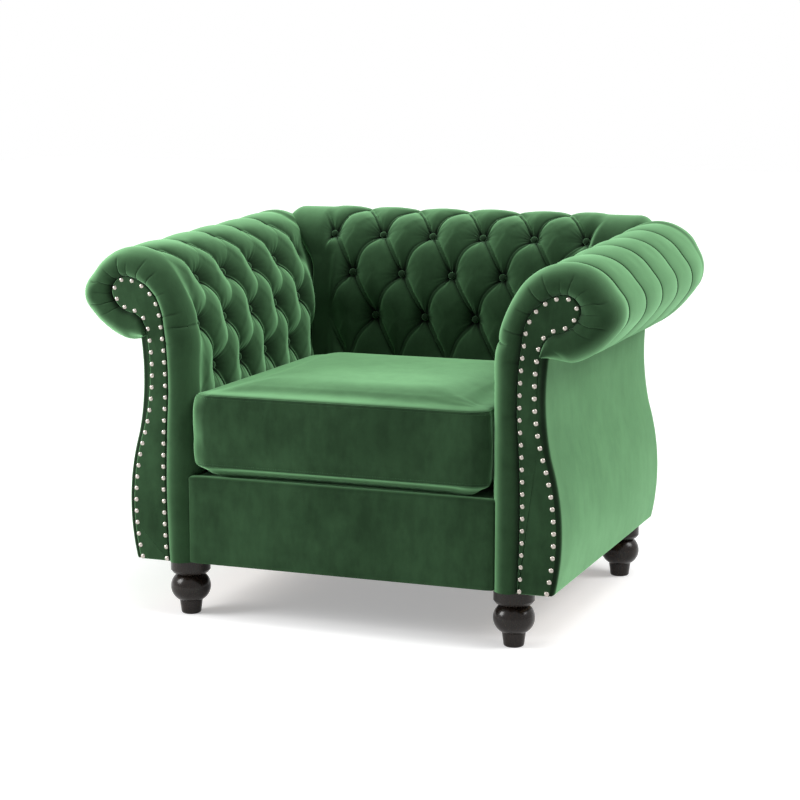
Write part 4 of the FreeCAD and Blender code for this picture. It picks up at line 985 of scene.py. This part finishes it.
def cushion_start():
    """The cushion before it is filled: a slightly small box, its top a little raised."""
    plan = CushionPlan()
    sections = [(CUSHION_LOW - 24, 34), (CUSHION_LOW - 22, 18), (CUSHION_LOW - 15, 11),
                (CUSHION_LOW - 7, 9.5), (CUSHION_LOW, 9), (CUSHION_LOW + 22, 7),
                ((CUSHION_LOW + CUSHION_HIGH) / 2, 6), (CUSHION_HIGH - 22, 7), (CUSHION_HIGH, 9)]
    sections += [(CUSHION_HIGH + 14 * float(quarter_round((inset - 9) / 200)), inset)
                 for inset in (13, 19, 28, 40, 55, 75, 100, 130, 165, 205)]
    count = len(plan.edge(12.0))
    rings = []
    for level, inset in sections:
        line = plan.edge(2.0, inset, max(12, CUSHION_CORNER - inset))
        walk = np.linspace(0, len(line), count, endpoint=False)
        ring = points_at(walk, np.arange(len(line) + 1), np.vstack([line, line[:1]]))
        rings.append(np.column_stack([ring, np.full(count, level)]))
    return make_object("seat_cushion_cover", np.vstack(rings) * MM, ring_faces(len(rings), count))


def apply_modifiers(item):
    """Makes what the modifiers give the object's own mesh."""
    graph = bpy.context.evaluated_depsgraph_get()
    mesh = bpy.data.meshes.new_from_object(item.evaluated_get(graph))
    item.modifiers.clear()
    old = item.data
    item.data = mesh
    bpy.data.meshes.remove(old)


def mesh_points(item):
    points = np.zeros(len(item.data.vertices) * 3)
    item.data.vertices.foreach_get("co", points)
    return points.reshape(-1, 3)


def fill_with_stuffing(item, cap):
    """Swells a closed cover with a short cloth simulation.

    Returns its points before and after it, in metres. None moves as far as the cap.
    """
    remesh = item.modifiers.new("even_mesh", "REMESH")
    remesh.mode = "VOXEL"
    remesh.voxel_size = 0.0072
    apply_modifiers(item)
    before = mesh_points(item)
    cloth = item.modifiers.new("stuffing", "CLOTH")
    cloth.settings.use_pressure = True
    cloth.settings.uniform_pressure_force = 4.0
    cloth.settings.effector_weights.gravity = 0.0
    cloth.settings.quality = 5
    cloth.point_cache.frame_start = 1
    cloth.point_cache.frame_end = 40
    for frame_number in range(1, sizes().simulation_frames + 1):
        bpy.context.scene.frame_set(frame_number)
    apply_modifiers(item)
    bpy.context.scene.frame_set(1)
    even = item.modifiers.new("even_filling", "SMOOTH")
    even.factor = 0.5
    even.iterations = 20
    apply_modifiers(item)
    moved = mesh_points(item) - before
    reach = np.maximum(np.linalg.norm(moved, axis=1), 1e-9)
    return before, before + moved * (cap * np.tanh(reach / cap) / reach)[:, None]


def seat_cushion():
    """Loose cushion: filled by simulation, seated on the deck, its seams drawn in."""
    item = cushion_start()
    start, now = (points / MM for points in fill_with_stuffing(item, sizes().cushion_swell))
    plan = CushionPlan()
    rise = start[:, 2]
    gap = rise - np.where(rise > (CUSHION_LOW + CUSHION_HIGH) / 2, CUSHION_HIGH, CUSHION_LOW)
    inward = plan.inside(start)[0]
    near_side = 1 - smooth_step(12, 26, inward)
    upper = smooth_step(CUSHION_HIGH - 4, CUSHION_HIGH + 2, rise)
    now[:, 2] = rise + (now[:, 2] - rise) * (1 - upper * (1 - smooth_step(5, 120, inward)))
    distance, out = plan.inside(now)
    hold = np.exp(-(gap / 9) ** 2 - (np.maximum(inward - 11, 0) / 7) ** 2)
    share = np.clip((rise - CUSHION_LOW) / (CUSHION_HIGH - CUSHION_LOW), 0, 1)
    band = smooth_step(CUSHION_LOW - 12, CUSHION_LOW, rise) * near_side
    band = band * (1 - smooth_step(CUSHION_HIGH, CUSHION_HIGH + 8, rise))
    swell = SEAM_PULL - 5.0 * (4 * share * (1 - share)) ** 0.6
    move = (distance - swell) * np.maximum(0.85 * band, hold)
    beside = front_rounding(start[:, 1]) * np.abs(out[:, 0])
    move = move + 0.8 * np.minimum(beside, 11) * np.maximum(hold, band)
    now[:, :2] += out * move[:, None]
    now[:, 2] += (rise - now[:, 2]) * hold
    top = smooth_step(CUSHION_HIGH, CUSHION_HIGH + 8, rise)
    wrinkled = np.exp(-np.hypot(now[:, 0] - 262, (now[:, 1] + 335) / 1.5) / 42) * top
    fan = np.arctan2(now[:, 1] + 395, now[:, 0] - 300)
    now[:, 2] += 1.6 * np.sin(26 * fan + 3 * soft_noise(now[:, 0] / 30, now[:, 1] / 30, 41)) * wrinkled
    now[:, 2] += 0.9 * soft_noise(now[:, 0] / 60, now[:, 1] / 60, 43) * top
    now[:, 2] = np.maximum(now[:, 2], CUSHION_BOX[0][2] + 0.4)
    item.data.vertices.foreach_set("co", (now * MM).ravel())
    item.data.update()
    divide = item.modifiers.new("finer", "SUBSURF")
    divide.levels = divide.render_levels = 1
    apply_modifiers(item)
    item.data.polygons.foreach_set("use_smooth", [True] * len(item.data.polygons))
    fine = mesh_points(item) / MM
    # Painted shade along the two seams' creases
    crease = np.minimum(np.abs(fine[:, 2] - CUSHION_HIGH), np.abs(fine[:, 2] - CUSHION_LOW))
    near_side = plan.inside(fine)[0] < 16
    store(item, "fold", 0.45 * np.exp(-(crease / 2.6) ** 2) * near_side)
    return item


def tube(path, radius, sides=8):
    """Points and faces of a closed ring of cord along a path of points."""
    ahead = np.roll(path, -1, 0) - np.roll(path, 1, 0)
    ahead /= np.linalg.norm(ahead, axis=1)[:, None]
    level = np.cross(ahead, [0, 0, 1.0])
    level /= np.linalg.norm(level, axis=1)[:, None]
    up = np.cross(level, ahead)
    turns = np.linspace(0, 2 * math.pi, sides, endpoint=False)
    rings = path[:, None] + radius * (level[:, None] * np.cos(turns)[:, None]
                                      + up[:, None] * np.sin(turns)[:, None])
    count = len(path)
    faces = grid_faces(count, sides, closed=True)
    last = (count - 1) * sides
    faces += [(last + k, last + (k + 1) % sides, (k + 1) % sides, k) for k in range(sides)]
    return rings.reshape(-1, 3), faces


def stitch(centre, along, out):
    """One stitch: a short thread that dips into the cloth at both ends."""
    side = np.cross(along, out)
    points = []
    for share, high in ((-0.5, -0.3), (-0.3, 0.28), (0.3, 0.28), (0.5, -0.3)):
        middle = centre + along * share * 3.2 + out * high
        points += [middle + side * 0.35, middle + out * 0.3, middle - side * 0.35, middle - out * 0.3]
    return points, ring_faces(4, 4)


def cushion_seams(cushion):
    """The welts of both seams and the row of stitches beside each, laid on the filled cover."""
    tree = BVHTree.FromObject(cushion, bpy.context.evaluated_depsgraph_get())
    plan = CushionPlan()
    pitch = sizes().stitch_pitch / MM
    points, faces = [], []

    def add(new_points, new_faces):
        faces.extend(tuple(index + len(points) for index in face) for face in new_faces)
        points.extend(new_points)

    def on_cover(line, level):
        """Points of the cover at one level, reached from outside, and its outward normals."""
        spots, normals = [], []
        for place in line:
            out = plan.inside(place[None])[1][0]
            start = Vector((*(place + out * 20), level)) * MM
            spot, normal = tree.ray_cast(start, Vector((-out[0], -out[1], 0)), 0.06)[:2]
            spots.append(np.array(spot) / MM)
            normals.append(np.array(normal))
        return np.array(spots), np.array(normals)

    for level, stitched in ((CUSHION_HIGH, CUSHION_HIGH - 4.2), (CUSHION_LOW, CUSHION_LOW + 4.2)):
        spots, normals = on_cover(plan.edge(5.0), level)
        add(*tube(spots - normals * 0.25, 1.15))
        spots, normals = on_cover(plan.edge(pitch), stitched)
        ahead = np.roll(spots, -1, 0) - np.roll(spots, 1, 0)
        for spot, normal, along in zip(spots, normals, ahead):
            along = along - normal * along.dot(normal)
            add(*stitch(spot, along / np.linalg.norm(along), normal))
    item = make_object("seat_cushion_seams", np.array(points) * MM, faces)
    # Painted shade: welts and stitches slightly darkened
    store(item, "fold", np.full(len(points), 0.12))
    return item


# Materials

class Graph:
    """Adds and joins nodes in one tree."""

    def __init__(self, tree):
        self.tree = tree

    def add(self, kind, inputs=None, **settings):
        node = self.tree.nodes.new(kind)
        for name, value in settings.items():
            setattr(node, name, value)
        return self.feed(node, inputs or {})

    def feed(self, node, inputs):
        """Sets a node's inputs: a socket is joined, and any other value is written."""
        for name, value in inputs.items():
            if isinstance(value, bpy.types.NodeSocket):
                self.tree.links.new(value, node.inputs[name])
            else:
                node.inputs[name].default_value = value
        return node

    def math(self, operation, first, second=0.5, clamp=False):
        return self.add("ShaderNodeMath", {0: first, 1: second}, operation=operation,
                        use_clamp=clamp).outputs[0]

    def mix(self, share, first, second):
        """Colour between two; numbers name the colour sockets of the mix."""
        node = self.add("ShaderNodeMix", {0: share, 6: first, 7: second}, data_type="RGBA")
        return node.outputs[2]

    def noise(self, vector, scale, detail, rough):
        node = self.add("ShaderNodeTexNoise", {"Vector": vector, "Scale": scale, "Detail": detail,
                                               "Roughness": rough})
        return node.outputs["Fac"]

    def ramp(self, value, stops):
        node = self.add("ShaderNodeValToRGB", {"Fac": value})
        for count, (place, shade) in enumerate(stops):
            stop = node.color_ramp.elements[count] if count < 2 else node.color_ramp.elements.new(place)
            stop.position = place
            stop.color = (shade, shade, shade, 1)
        return node.outputs["Color"]


def new_group(name, inputs, outputs):
    """A node group with its named sockets: (name, kind, default)."""
    tree = bpy.data.node_groups.new(name, "ShaderNodeTree")
    for label, kind, default in inputs:
        socket = tree.interface.new_socket(label, in_out="INPUT", socket_type="NodeSocket" + kind)
        socket.default_value = default
    for label, kind in outputs:
        tree.interface.new_socket(label, in_out="OUTPUT", socket_type="NodeSocket" + kind)
    graph = Graph(tree)
    return graph, graph.add("NodeGroupInput"), graph.add("NodeGroupOutput")


def rgba(colour, scale=1.0):
    return tuple(min(1.0, value * scale) for value in colour) + (1.0,)


def nap_group():
    """Pile of a brushed cloth: stroked patches, fine mottling, painted shade in folds, a lighter colour
    for a painted sheen, and a pile height.
    """
    graph, given, result = new_group(
        "brushed_nap",
        [("Pile Colour", "Color", (0.02, 0.1, 0.04, 1)), ("Painted Sheen Colour", "Color", (0.1, 0.3, 0.1, 1)),
         ("Fold Shade Colour", "Color", (0.0, 0.01, 0.0, 1)), ("Fold", "Float", 0.0),
         ("Patch Scale", "Float", 9.0), ("Pile Scale", "Float", 900.0), ("Stroke", "Float", 0.3)],
        [("Pile", "Color"), ("Painted Sheen", "Color"), ("Roughness", "Float"), ("Height", "Float")])
    where = graph.add("ShaderNodeTexCoord").outputs["Object"]
    patches = graph.noise(where, given.outputs["Patch Scale"], 5.0, 0.62)
    patch_mask = graph.ramp(patches, [(0.38, 0.0), (0.62, 1.0)])
    streaks = graph.add("ShaderNodeMapping", {"Vector": where, "Scale": (30.0, 30.0, 11.0)})
    stroke_mask = graph.ramp(graph.noise(streaks.outputs[0], 1.5, 6.0, 0.65), [(0.4, 0.0), (0.62, 1.0)])
    pile = graph.noise(where, given.outputs["Pile Scale"], 2.0, 0.6)
    shade = graph.math("ADD", graph.math("MULTIPLY", patch_mask, 1.2),
                       graph.math("MULTIPLY", stroke_mask, 0.8))
    shade = graph.math("MULTIPLY", shade, given.outputs["Stroke"])
    shade = graph.math("ADD", shade, graph.math("MULTIPLY", pile, 0.16))
    brightness = graph.math("SUBTRACT", 1.5, shade)
    brushed = graph.math("SUBTRACT", 1.12, graph.math("MULTIPLY", shade, 0.28))
    for name, source, value in (("Pile", "Pile Colour", brightness), ("Painted Sheen", "Painted Sheen Colour", brushed)):
        stroked = graph.add("ShaderNodeHueSaturation", {"Color": given.outputs[source], "Value": value})
        # Painted shade: the colour is mixed towards the dark fold colour by the mesh's fold mask, in
        # creases, pits and recesses
        shaded = graph.mix(given.outputs["Fold"], stroked.outputs[0], given.outputs["Fold Shade Colour"])
        graph.feed(result, {name: shaded})
    rough = graph.math("ADD", graph.math("MULTIPLY", patch_mask, 0.12), 0.78, clamp=True)
    height = graph.math("ADD", graph.math("MULTIPLY", patches, 0.35), pile)
    graph.feed(result, {"Roughness": rough, "Height": height})
    return graph.tree


def wear_group():
    """Hard finish: uneven tone, fine scratches and a height for a bump."""
    graph, given, result = new_group(
        "hard_wear",
        [("Colour", "Color", (0.5, 0.5, 0.5, 1)), ("Second Colour", "Color", (0.4, 0.4, 0.4, 1)),
         ("Grain Scale", "Vector", (20.0, 20.0, 4.0)), ("Base Roughness", "Float", 0.4),
         ("Roughness Spread", "Float", 0.2)],
        [("Color", "Color"), ("Roughness", "Float"), ("Height", "Float")])
    where = graph.add("ShaderNodeTexCoord").outputs["Object"]
    grain_space = graph.add("ShaderNodeMapping", {"Vector": where, "Scale": given.outputs["Grain Scale"]})
    grain = graph.noise(grain_space.outputs[0], 9.0, 6.0, 0.65)
    tone = graph.ramp(grain, [(0.35, 0.0), (0.7, 1.0)])
    colour = graph.mix(tone, given.outputs["Colour"], given.outputs["Second Colour"])
    scuffs = graph.noise(where, 160.0, 3.0, 0.7)
    rough = graph.math("ADD", given.outputs["Base Roughness"],
                       graph.math("MULTIPLY", scuffs, given.outputs["Roughness Spread"]), clamp=True)
    graph.feed(result, {"Color": colour, "Roughness": rough, "Height": grain})
    return graph.tree


def emptied_graph(owner):
    """The node tree of a new material or world, with nothing in it."""
    owner.use_nodes = True
    owner.node_tree.nodes.clear()
    return Graph(owner.node_tree)


def new_material(name, group, group_inputs, bump_strength, bump_distance, painted_sheen_power=None,
                 **shader_values):
    """A material: the shared group feeds colour, roughness and bump of one shader.

    Given that power, the base colour turns from the pile's colour to a lighter one towards a grazing
    view: a painted sheen.
    """
    material = bpy.data.materials.new(name)
    graph = emptied_graph(material)
    finish = graph.add("ShaderNodeGroup", group_inputs, node_tree=group)
    # The fold attribute is a mask of painted shade: it darkens folds, pits, seams and edges
    if "Fold" in finish.inputs:
        fold = graph.add("ShaderNodeAttribute", attribute_name="fold")
        graph.feed(finish, {"Fold": fold.outputs["Fac"]})
    bump = graph.add("ShaderNodeBump", {"Strength": bump_strength, "Distance": bump_distance,
                                        "Height": finish.outputs["Height"]})
    if painted_sheen_power:
        # Painted sheen: the base colour is lighter where the cloth is seen at a grazing angle
        grazing = graph.add("ShaderNodeLayerWeight", {"Blend": 0.5}).outputs["Facing"]
        share = graph.math("POWER", grazing, painted_sheen_power)
        colour = graph.mix(share, finish.outputs["Pile"], finish.outputs["Painted Sheen"])
    else:
        colour = finish.outputs["Color"]
    values = {name.replace("_", " "): value for name, value in shader_values.items()}
    values.update({"Base Color": colour, "Roughness": finish.outputs["Roughness"],
                   "Normal": bump.outputs[0]})
    shader = graph.add("ShaderNodeBsdfPrincipled", values)
    graph.add("ShaderNodeOutputMaterial", {0: shader.outputs[0]})
    return material


def make_materials():
    """One material for each finish of the chair, by slot name."""
    paint = colours()
    nap, wear = nap_group(), wear_group()

    def velvet(name, patch_scale, stroke, strength=1.0):
        return new_material(
            name, nap,
            {"Pile Colour": rgba(paint.velvet, strength), "Painted Sheen Colour": rgba(paint.velvet_painted_sheen, strength),
             "Fold Shade Colour": rgba(paint.velvet_fold_shade), "Patch Scale": patch_scale, "Stroke": stroke},
            0.12, 0.0006, painted_sheen_power=2.3, Sheen_Weight=0.5, Sheen_Roughness=0.35,
            Sheen_Tint=rgba(paint.velvet_sheen), Specular_IOR_Level=0.08)

    def hard(name, colour, second, grain, rough, spread, bump=0.15, **values):
        return new_material(
            name, wear,
            {"Colour": rgba(colour), "Second Colour": rgba(second), "Grain Scale": grain,
             "Base Roughness": rough, "Roughness Spread": spread}, bump, 0.0004, **values)

    return {
        "velvet": velvet("velvet", 11.0, 0.22),
        "velvet_smooth": velvet("velvet_outside", 8.0, 0.34),
        "foot_wood": hard("lacquered_wood", paint.foot_wood, (0.016, 0.010, 0.007), (30, 30, 5),
                          0.2, 0.12, Coat_Weight=0.12, Coat_Roughness=0.12,
                          Specular_IOR_Level=0.2),
        "nail_metal": hard("plated_nail", paint.nail_metal, (0.42, 0.38, 0.34), (60, 60, 60), 0.2, 0.16,
                           Metallic=1.0),
        "frame_wood": hard("sawn_wood", (0.55, 0.38, 0.22), (0.42, 0.27, 0.14), (22, 3, 22), 0.6, 0.2),
        "millboard": hard("bent_board", (0.40, 0.29, 0.18), (0.34, 0.24, 0.14), (40, 40, 40), 0.7, 0.2),
        "steel": hard("zinc_steel", (0.50, 0.50, 0.50), (0.40, 0.41, 0.42), (30, 30, 30), 0.35, 0.2,
                      Metallic=1.0),
        "deck_felt": velvet("deck_velvet", 7.0, 0.2, 0.9),
        "black_cloth": hard("dust_cloth_weave", (0.02, 0.02, 0.02), (0.035, 0.035, 0.035),
                            (700, 700, 90), 0.85, 0.1, bump=0.4),
    }


def node_slot(name):
    """The finish of a node that the frame shows itself."""
    starts = {
        "foot_wood": ("foot_front", "foot_rear"),
        "nail_metal": ("arm_nails",),
        "steel": ("foot_bolts", "foot_inserts", "frame_", "seat_springs", "spring_clips"),
        "millboard": ("arm_scroll_former", "back_scroll_former", "arm_inner_panel", "back_inner_panel"),
        "black_cloth": ("dust_cloth",),
    }
    for slot, names in starts.items():
        if name.startswith(names):
            return slot
    return "frame_wood"


class Finishes:
    """The materials, made once by the first operator that runs."""

    made = {}

    @classmethod
    def get(cls, name):
        if not cls.made:
            cls.made.update(make_materials())
        return cls.made[name]


# Operators

class ARMCHAIR_OT_frame(bpy.types.Operator):
    """Give the frame's own pieces their finishes"""
    bl_idname = "armchair.frame"
    bl_label = "Frame finishes"

    def execute(self, context):
        for name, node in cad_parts.items():
            material = Finishes.get(node_slot(name))
            node.data.materials.clear()
            node.data.materials.append(material)
        return {"FINISHED"}


class ARMCHAIR_OT_arms(bpy.types.Operator):
    """Pad, tuft and cover both arms"""
    bl_idname = "armchair.arms"
    bl_label = "Arms"

    def execute(self, context):
        velvet, plain = Finishes.get("velvet"), Finishes.get("velvet_smooth")
        for name, side in SIDES:
            finish_piece(arm_pad(name, side), velvet, CHAIR, "velvet", "arm_pad_" + name, fill=0.85)
            finish_piece(arm_border(name, side), velvet, CHAIR, "velvet", "arm_border_" + name, fill=0.8)
            finish_piece(arm_facing(name, side), plain, CHAIR, "velvet", "arm_facing_" + name)
            finish_piece(arm_outer_panel(name, side), plain, CHAIR, "velvet",
                         "arm_outer_panel_" + name, fill=0.7)
            finish_piece(arm_rear_cover(name, side), plain, CHAIR, "velvet", "arm_rear_cover_" + name)
            tufts = buttons("arm_button_set_" + name, arm_button_places(), side)
            finish_piece(tufts, velvet, CHAIR, "velvet", "arm_buttons_" + name)
        return {"FINISHED"}


class ARMCHAIR_OT_back(bpy.types.Operator):
    """Pad, tuft and cover the back"""
    bl_idname = "armchair.back"
    bl_label = "Back"

    def execute(self, context):
        velvet = Finishes.get("velvet")
        finish_piece(back_pad(), velvet, CHAIR, "velvet", "back_pad", "back_roll_end_right",
                     "back_roll_end_left", fill=0.85)
        finish_piece(back_outer_panel(), Finishes.get("velvet_smooth"), CHAIR, "velvet",
                     "back_outer_panel", fill=0.7)
        finish_piece(buttons("back_button_set", back_button_places()), velvet, CHAIR, "velvet",
                     "back_buttons")
        return {"FINISHED"}


class ARMCHAIR_OT_seat(bpy.types.Operator):
    """Cover the front rail and the deck, and fill the loose cushion"""
    bl_idname = "armchair.seat"
    bl_label = "Seat"

    def execute(self, context):
        plain = Finishes.get("velvet_smooth")
        finish_piece(front_rail_cover(), plain, CHAIR, "velvet", "front_rail_cover", fill=0.7)
        finish_piece(seat_deck(), Finishes.get("deck_felt"), CHAIR, "deck_felt", "seat_deck")
        cushion = finish_piece(seat_cushion(), plain, CUSHION, "velvet", "cushion_cover",
                               "cushion_core", fill=0.9)
        finish_piece(cushion_seams(cushion), plain, CUSHION, "velvet")
        return {"FINISHED"}


CAMERA_PLACE = (1.4348, -3.8348, 1.0469)
CAMERA_TARGET = (-0.033, 0.0, 0.365)
CAMERA_LENS = 95.98


class ARMCHAIR_OT_stage(bpy.types.Operator):
    """Set up the pale floor, the soft light and the camera"""
    bl_idname = "armchair.stage"
    bl_label = "Stage"

    def execute(self, context):
        scene = context.scene
        floor = make_object("stage_floor", [(-9, -7, 0), (9, -7, 0), (9, 14, 0), (-9, 14, 0)],
                            [(0, 1, 2, 3)], smooth=False)
        floor.data.materials.append(pale_floor())
        white_world(scene)
        far_light("right_light", heading=98, height=42, energy=1.7, spread=26)
        far_light("top_light", heading=80, height=74, energy=1.5, spread=40)
        place, target = Vector((-1.7, -1.3, 1.2)), Vector((-0.15, -0.1, 0.35))
        add_light("left_light", "AREA", place - target, energy=40, size=0.9).location = place
        camera = bpy.data.objects.new("camera", bpy.data.cameras.new("camera"))
        camera.data.lens = CAMERA_LENS
        camera.data.sensor_width = 36
        camera.data.sensor_fit = "HORIZONTAL"
        camera.location = CAMERA_PLACE
        aim = Vector(CAMERA_TARGET) - camera.location
        camera.rotation_euler = aim.to_track_quat("-Z", "Y").to_euler()
        scene.collection.objects.link(camera)
        scene.camera = camera
        scene.view_settings.view_transform = "Standard"
        return {"FINISHED"}


def add_light(name, kind, source, **settings):
    """A light that shines from the direction of the source vector."""
    data = bpy.data.lights.new(name, kind)
    for setting, value in settings.items():
        setattr(data, setting, value)
    item = bpy.data.objects.new(name, data)
    item.rotation_euler = source.to_track_quat("Z", "Y").to_euler()
    bpy.context.scene.collection.objects.link(item)
    return item


def far_light(name, heading, height, energy, spread):
    """A soft far light: its heading from the front towards the right and its height, in degrees."""
    turn, rise = math.radians(heading), math.radians(height)
    source = Vector((math.sin(turn) * math.cos(rise), -math.cos(turn) * math.cos(rise), math.sin(rise)))
    return add_light(name, "SUN", source, energy=energy, angle=math.radians(spread))


def seen_directly(graph):
    """1 for rays that show the backdrop itself or its reflection."""
    path = graph.add("ShaderNodeLightPath")
    direct = graph.math("ADD", path.outputs["Is Camera Ray"], path.outputs["Is Glossy Ray"],
                        clamp=True)
    return graph.math("ADD", direct, path.outputs["Is Transmission Ray"], clamp=True)


def pale_floor():
    """Floor that takes shadows and is lifted to near white where it is seen."""
    material = bpy.data.materials.new("pale_floor")
    graph = emptied_graph(material)
    matt = graph.add("ShaderNodeBsdfDiffuse", {"Color": (0.82, 0.82, 0.82, 1)})
    strength = graph.math("MULTIPLY", seen_directly(graph), 0.35)
    lift = graph.add("ShaderNodeEmission", {"Color": (1, 1, 1, 1), "Strength": strength})
    both = graph.add("ShaderNodeAddShader", {0: matt.outputs[0], 1: lift.outputs[0]})
    graph.add("ShaderNodeOutputMaterial", {0: both.outputs[0]})
    return material


def white_world(scene):
    """White where it is seen, and a dim even light for the chair."""
    scene.world = bpy.data.worlds.new("white_world")
    graph = emptied_graph(scene.world)
    strength = graph.math("ADD", graph.math("MULTIPLY", seen_directly(graph), 0.76), 0.24)
    background = graph.add("ShaderNodeBackground", {"Color": (1, 1, 1, 1), "Strength": strength})
    graph.add("ShaderNodeOutputWorld", {0: background.outputs[0]})


class ARMCHAIR_PT_panel(bpy.types.Panel):
    """Sizes, colours and steps of the armchair"""
    bl_label = "Armchair"
    bl_idname = "ARMCHAIR_PT_panel"
    bl_space_type = "VIEW_3D"
    bl_region_type = "UI"
    bl_category = "Armchair"

    def draw(self, context):
        layout = self.layout
        for group in (context.scene.armchair_sizes, context.scene.armchair_colours):
            for name in group.__annotations__:
                layout.prop(group, name)
        for step in STEPS:
            layout.operator(step.bl_idname)


STEPS = (ARMCHAIR_OT_frame, ARMCHAIR_OT_arms, ARMCHAIR_OT_back, ARMCHAIR_OT_seat, ARMCHAIR_OT_stage)
CLASSES = (ArmchairSizes, ArmchairColours) + STEPS + (ARMCHAIR_PT_panel,)


def register():
    for cls in CLASSES:
        bpy.utils.register_class(cls)
    bpy.types.Scene.armchair_sizes = bpy.props.PointerProperty(type=ArmchairSizes)
    bpy.types.Scene.armchair_colours = bpy.props.PointerProperty(type=ArmchairColours)


def unregister():
    del bpy.types.Scene.armchair_colours
    del bpy.types.Scene.armchair_sizes
    for cls in reversed(CLASSES):
        bpy.utils.unregister_class(cls)


def main():
    register()
    bpy.ops.armchair.frame()
    bpy.ops.armchair.arms()
    bpy.ops.armchair.back()
    bpy.ops.armchair.seat()
    bpy.ops.armchair.stage()


if __name__ == "__main__":
    main()
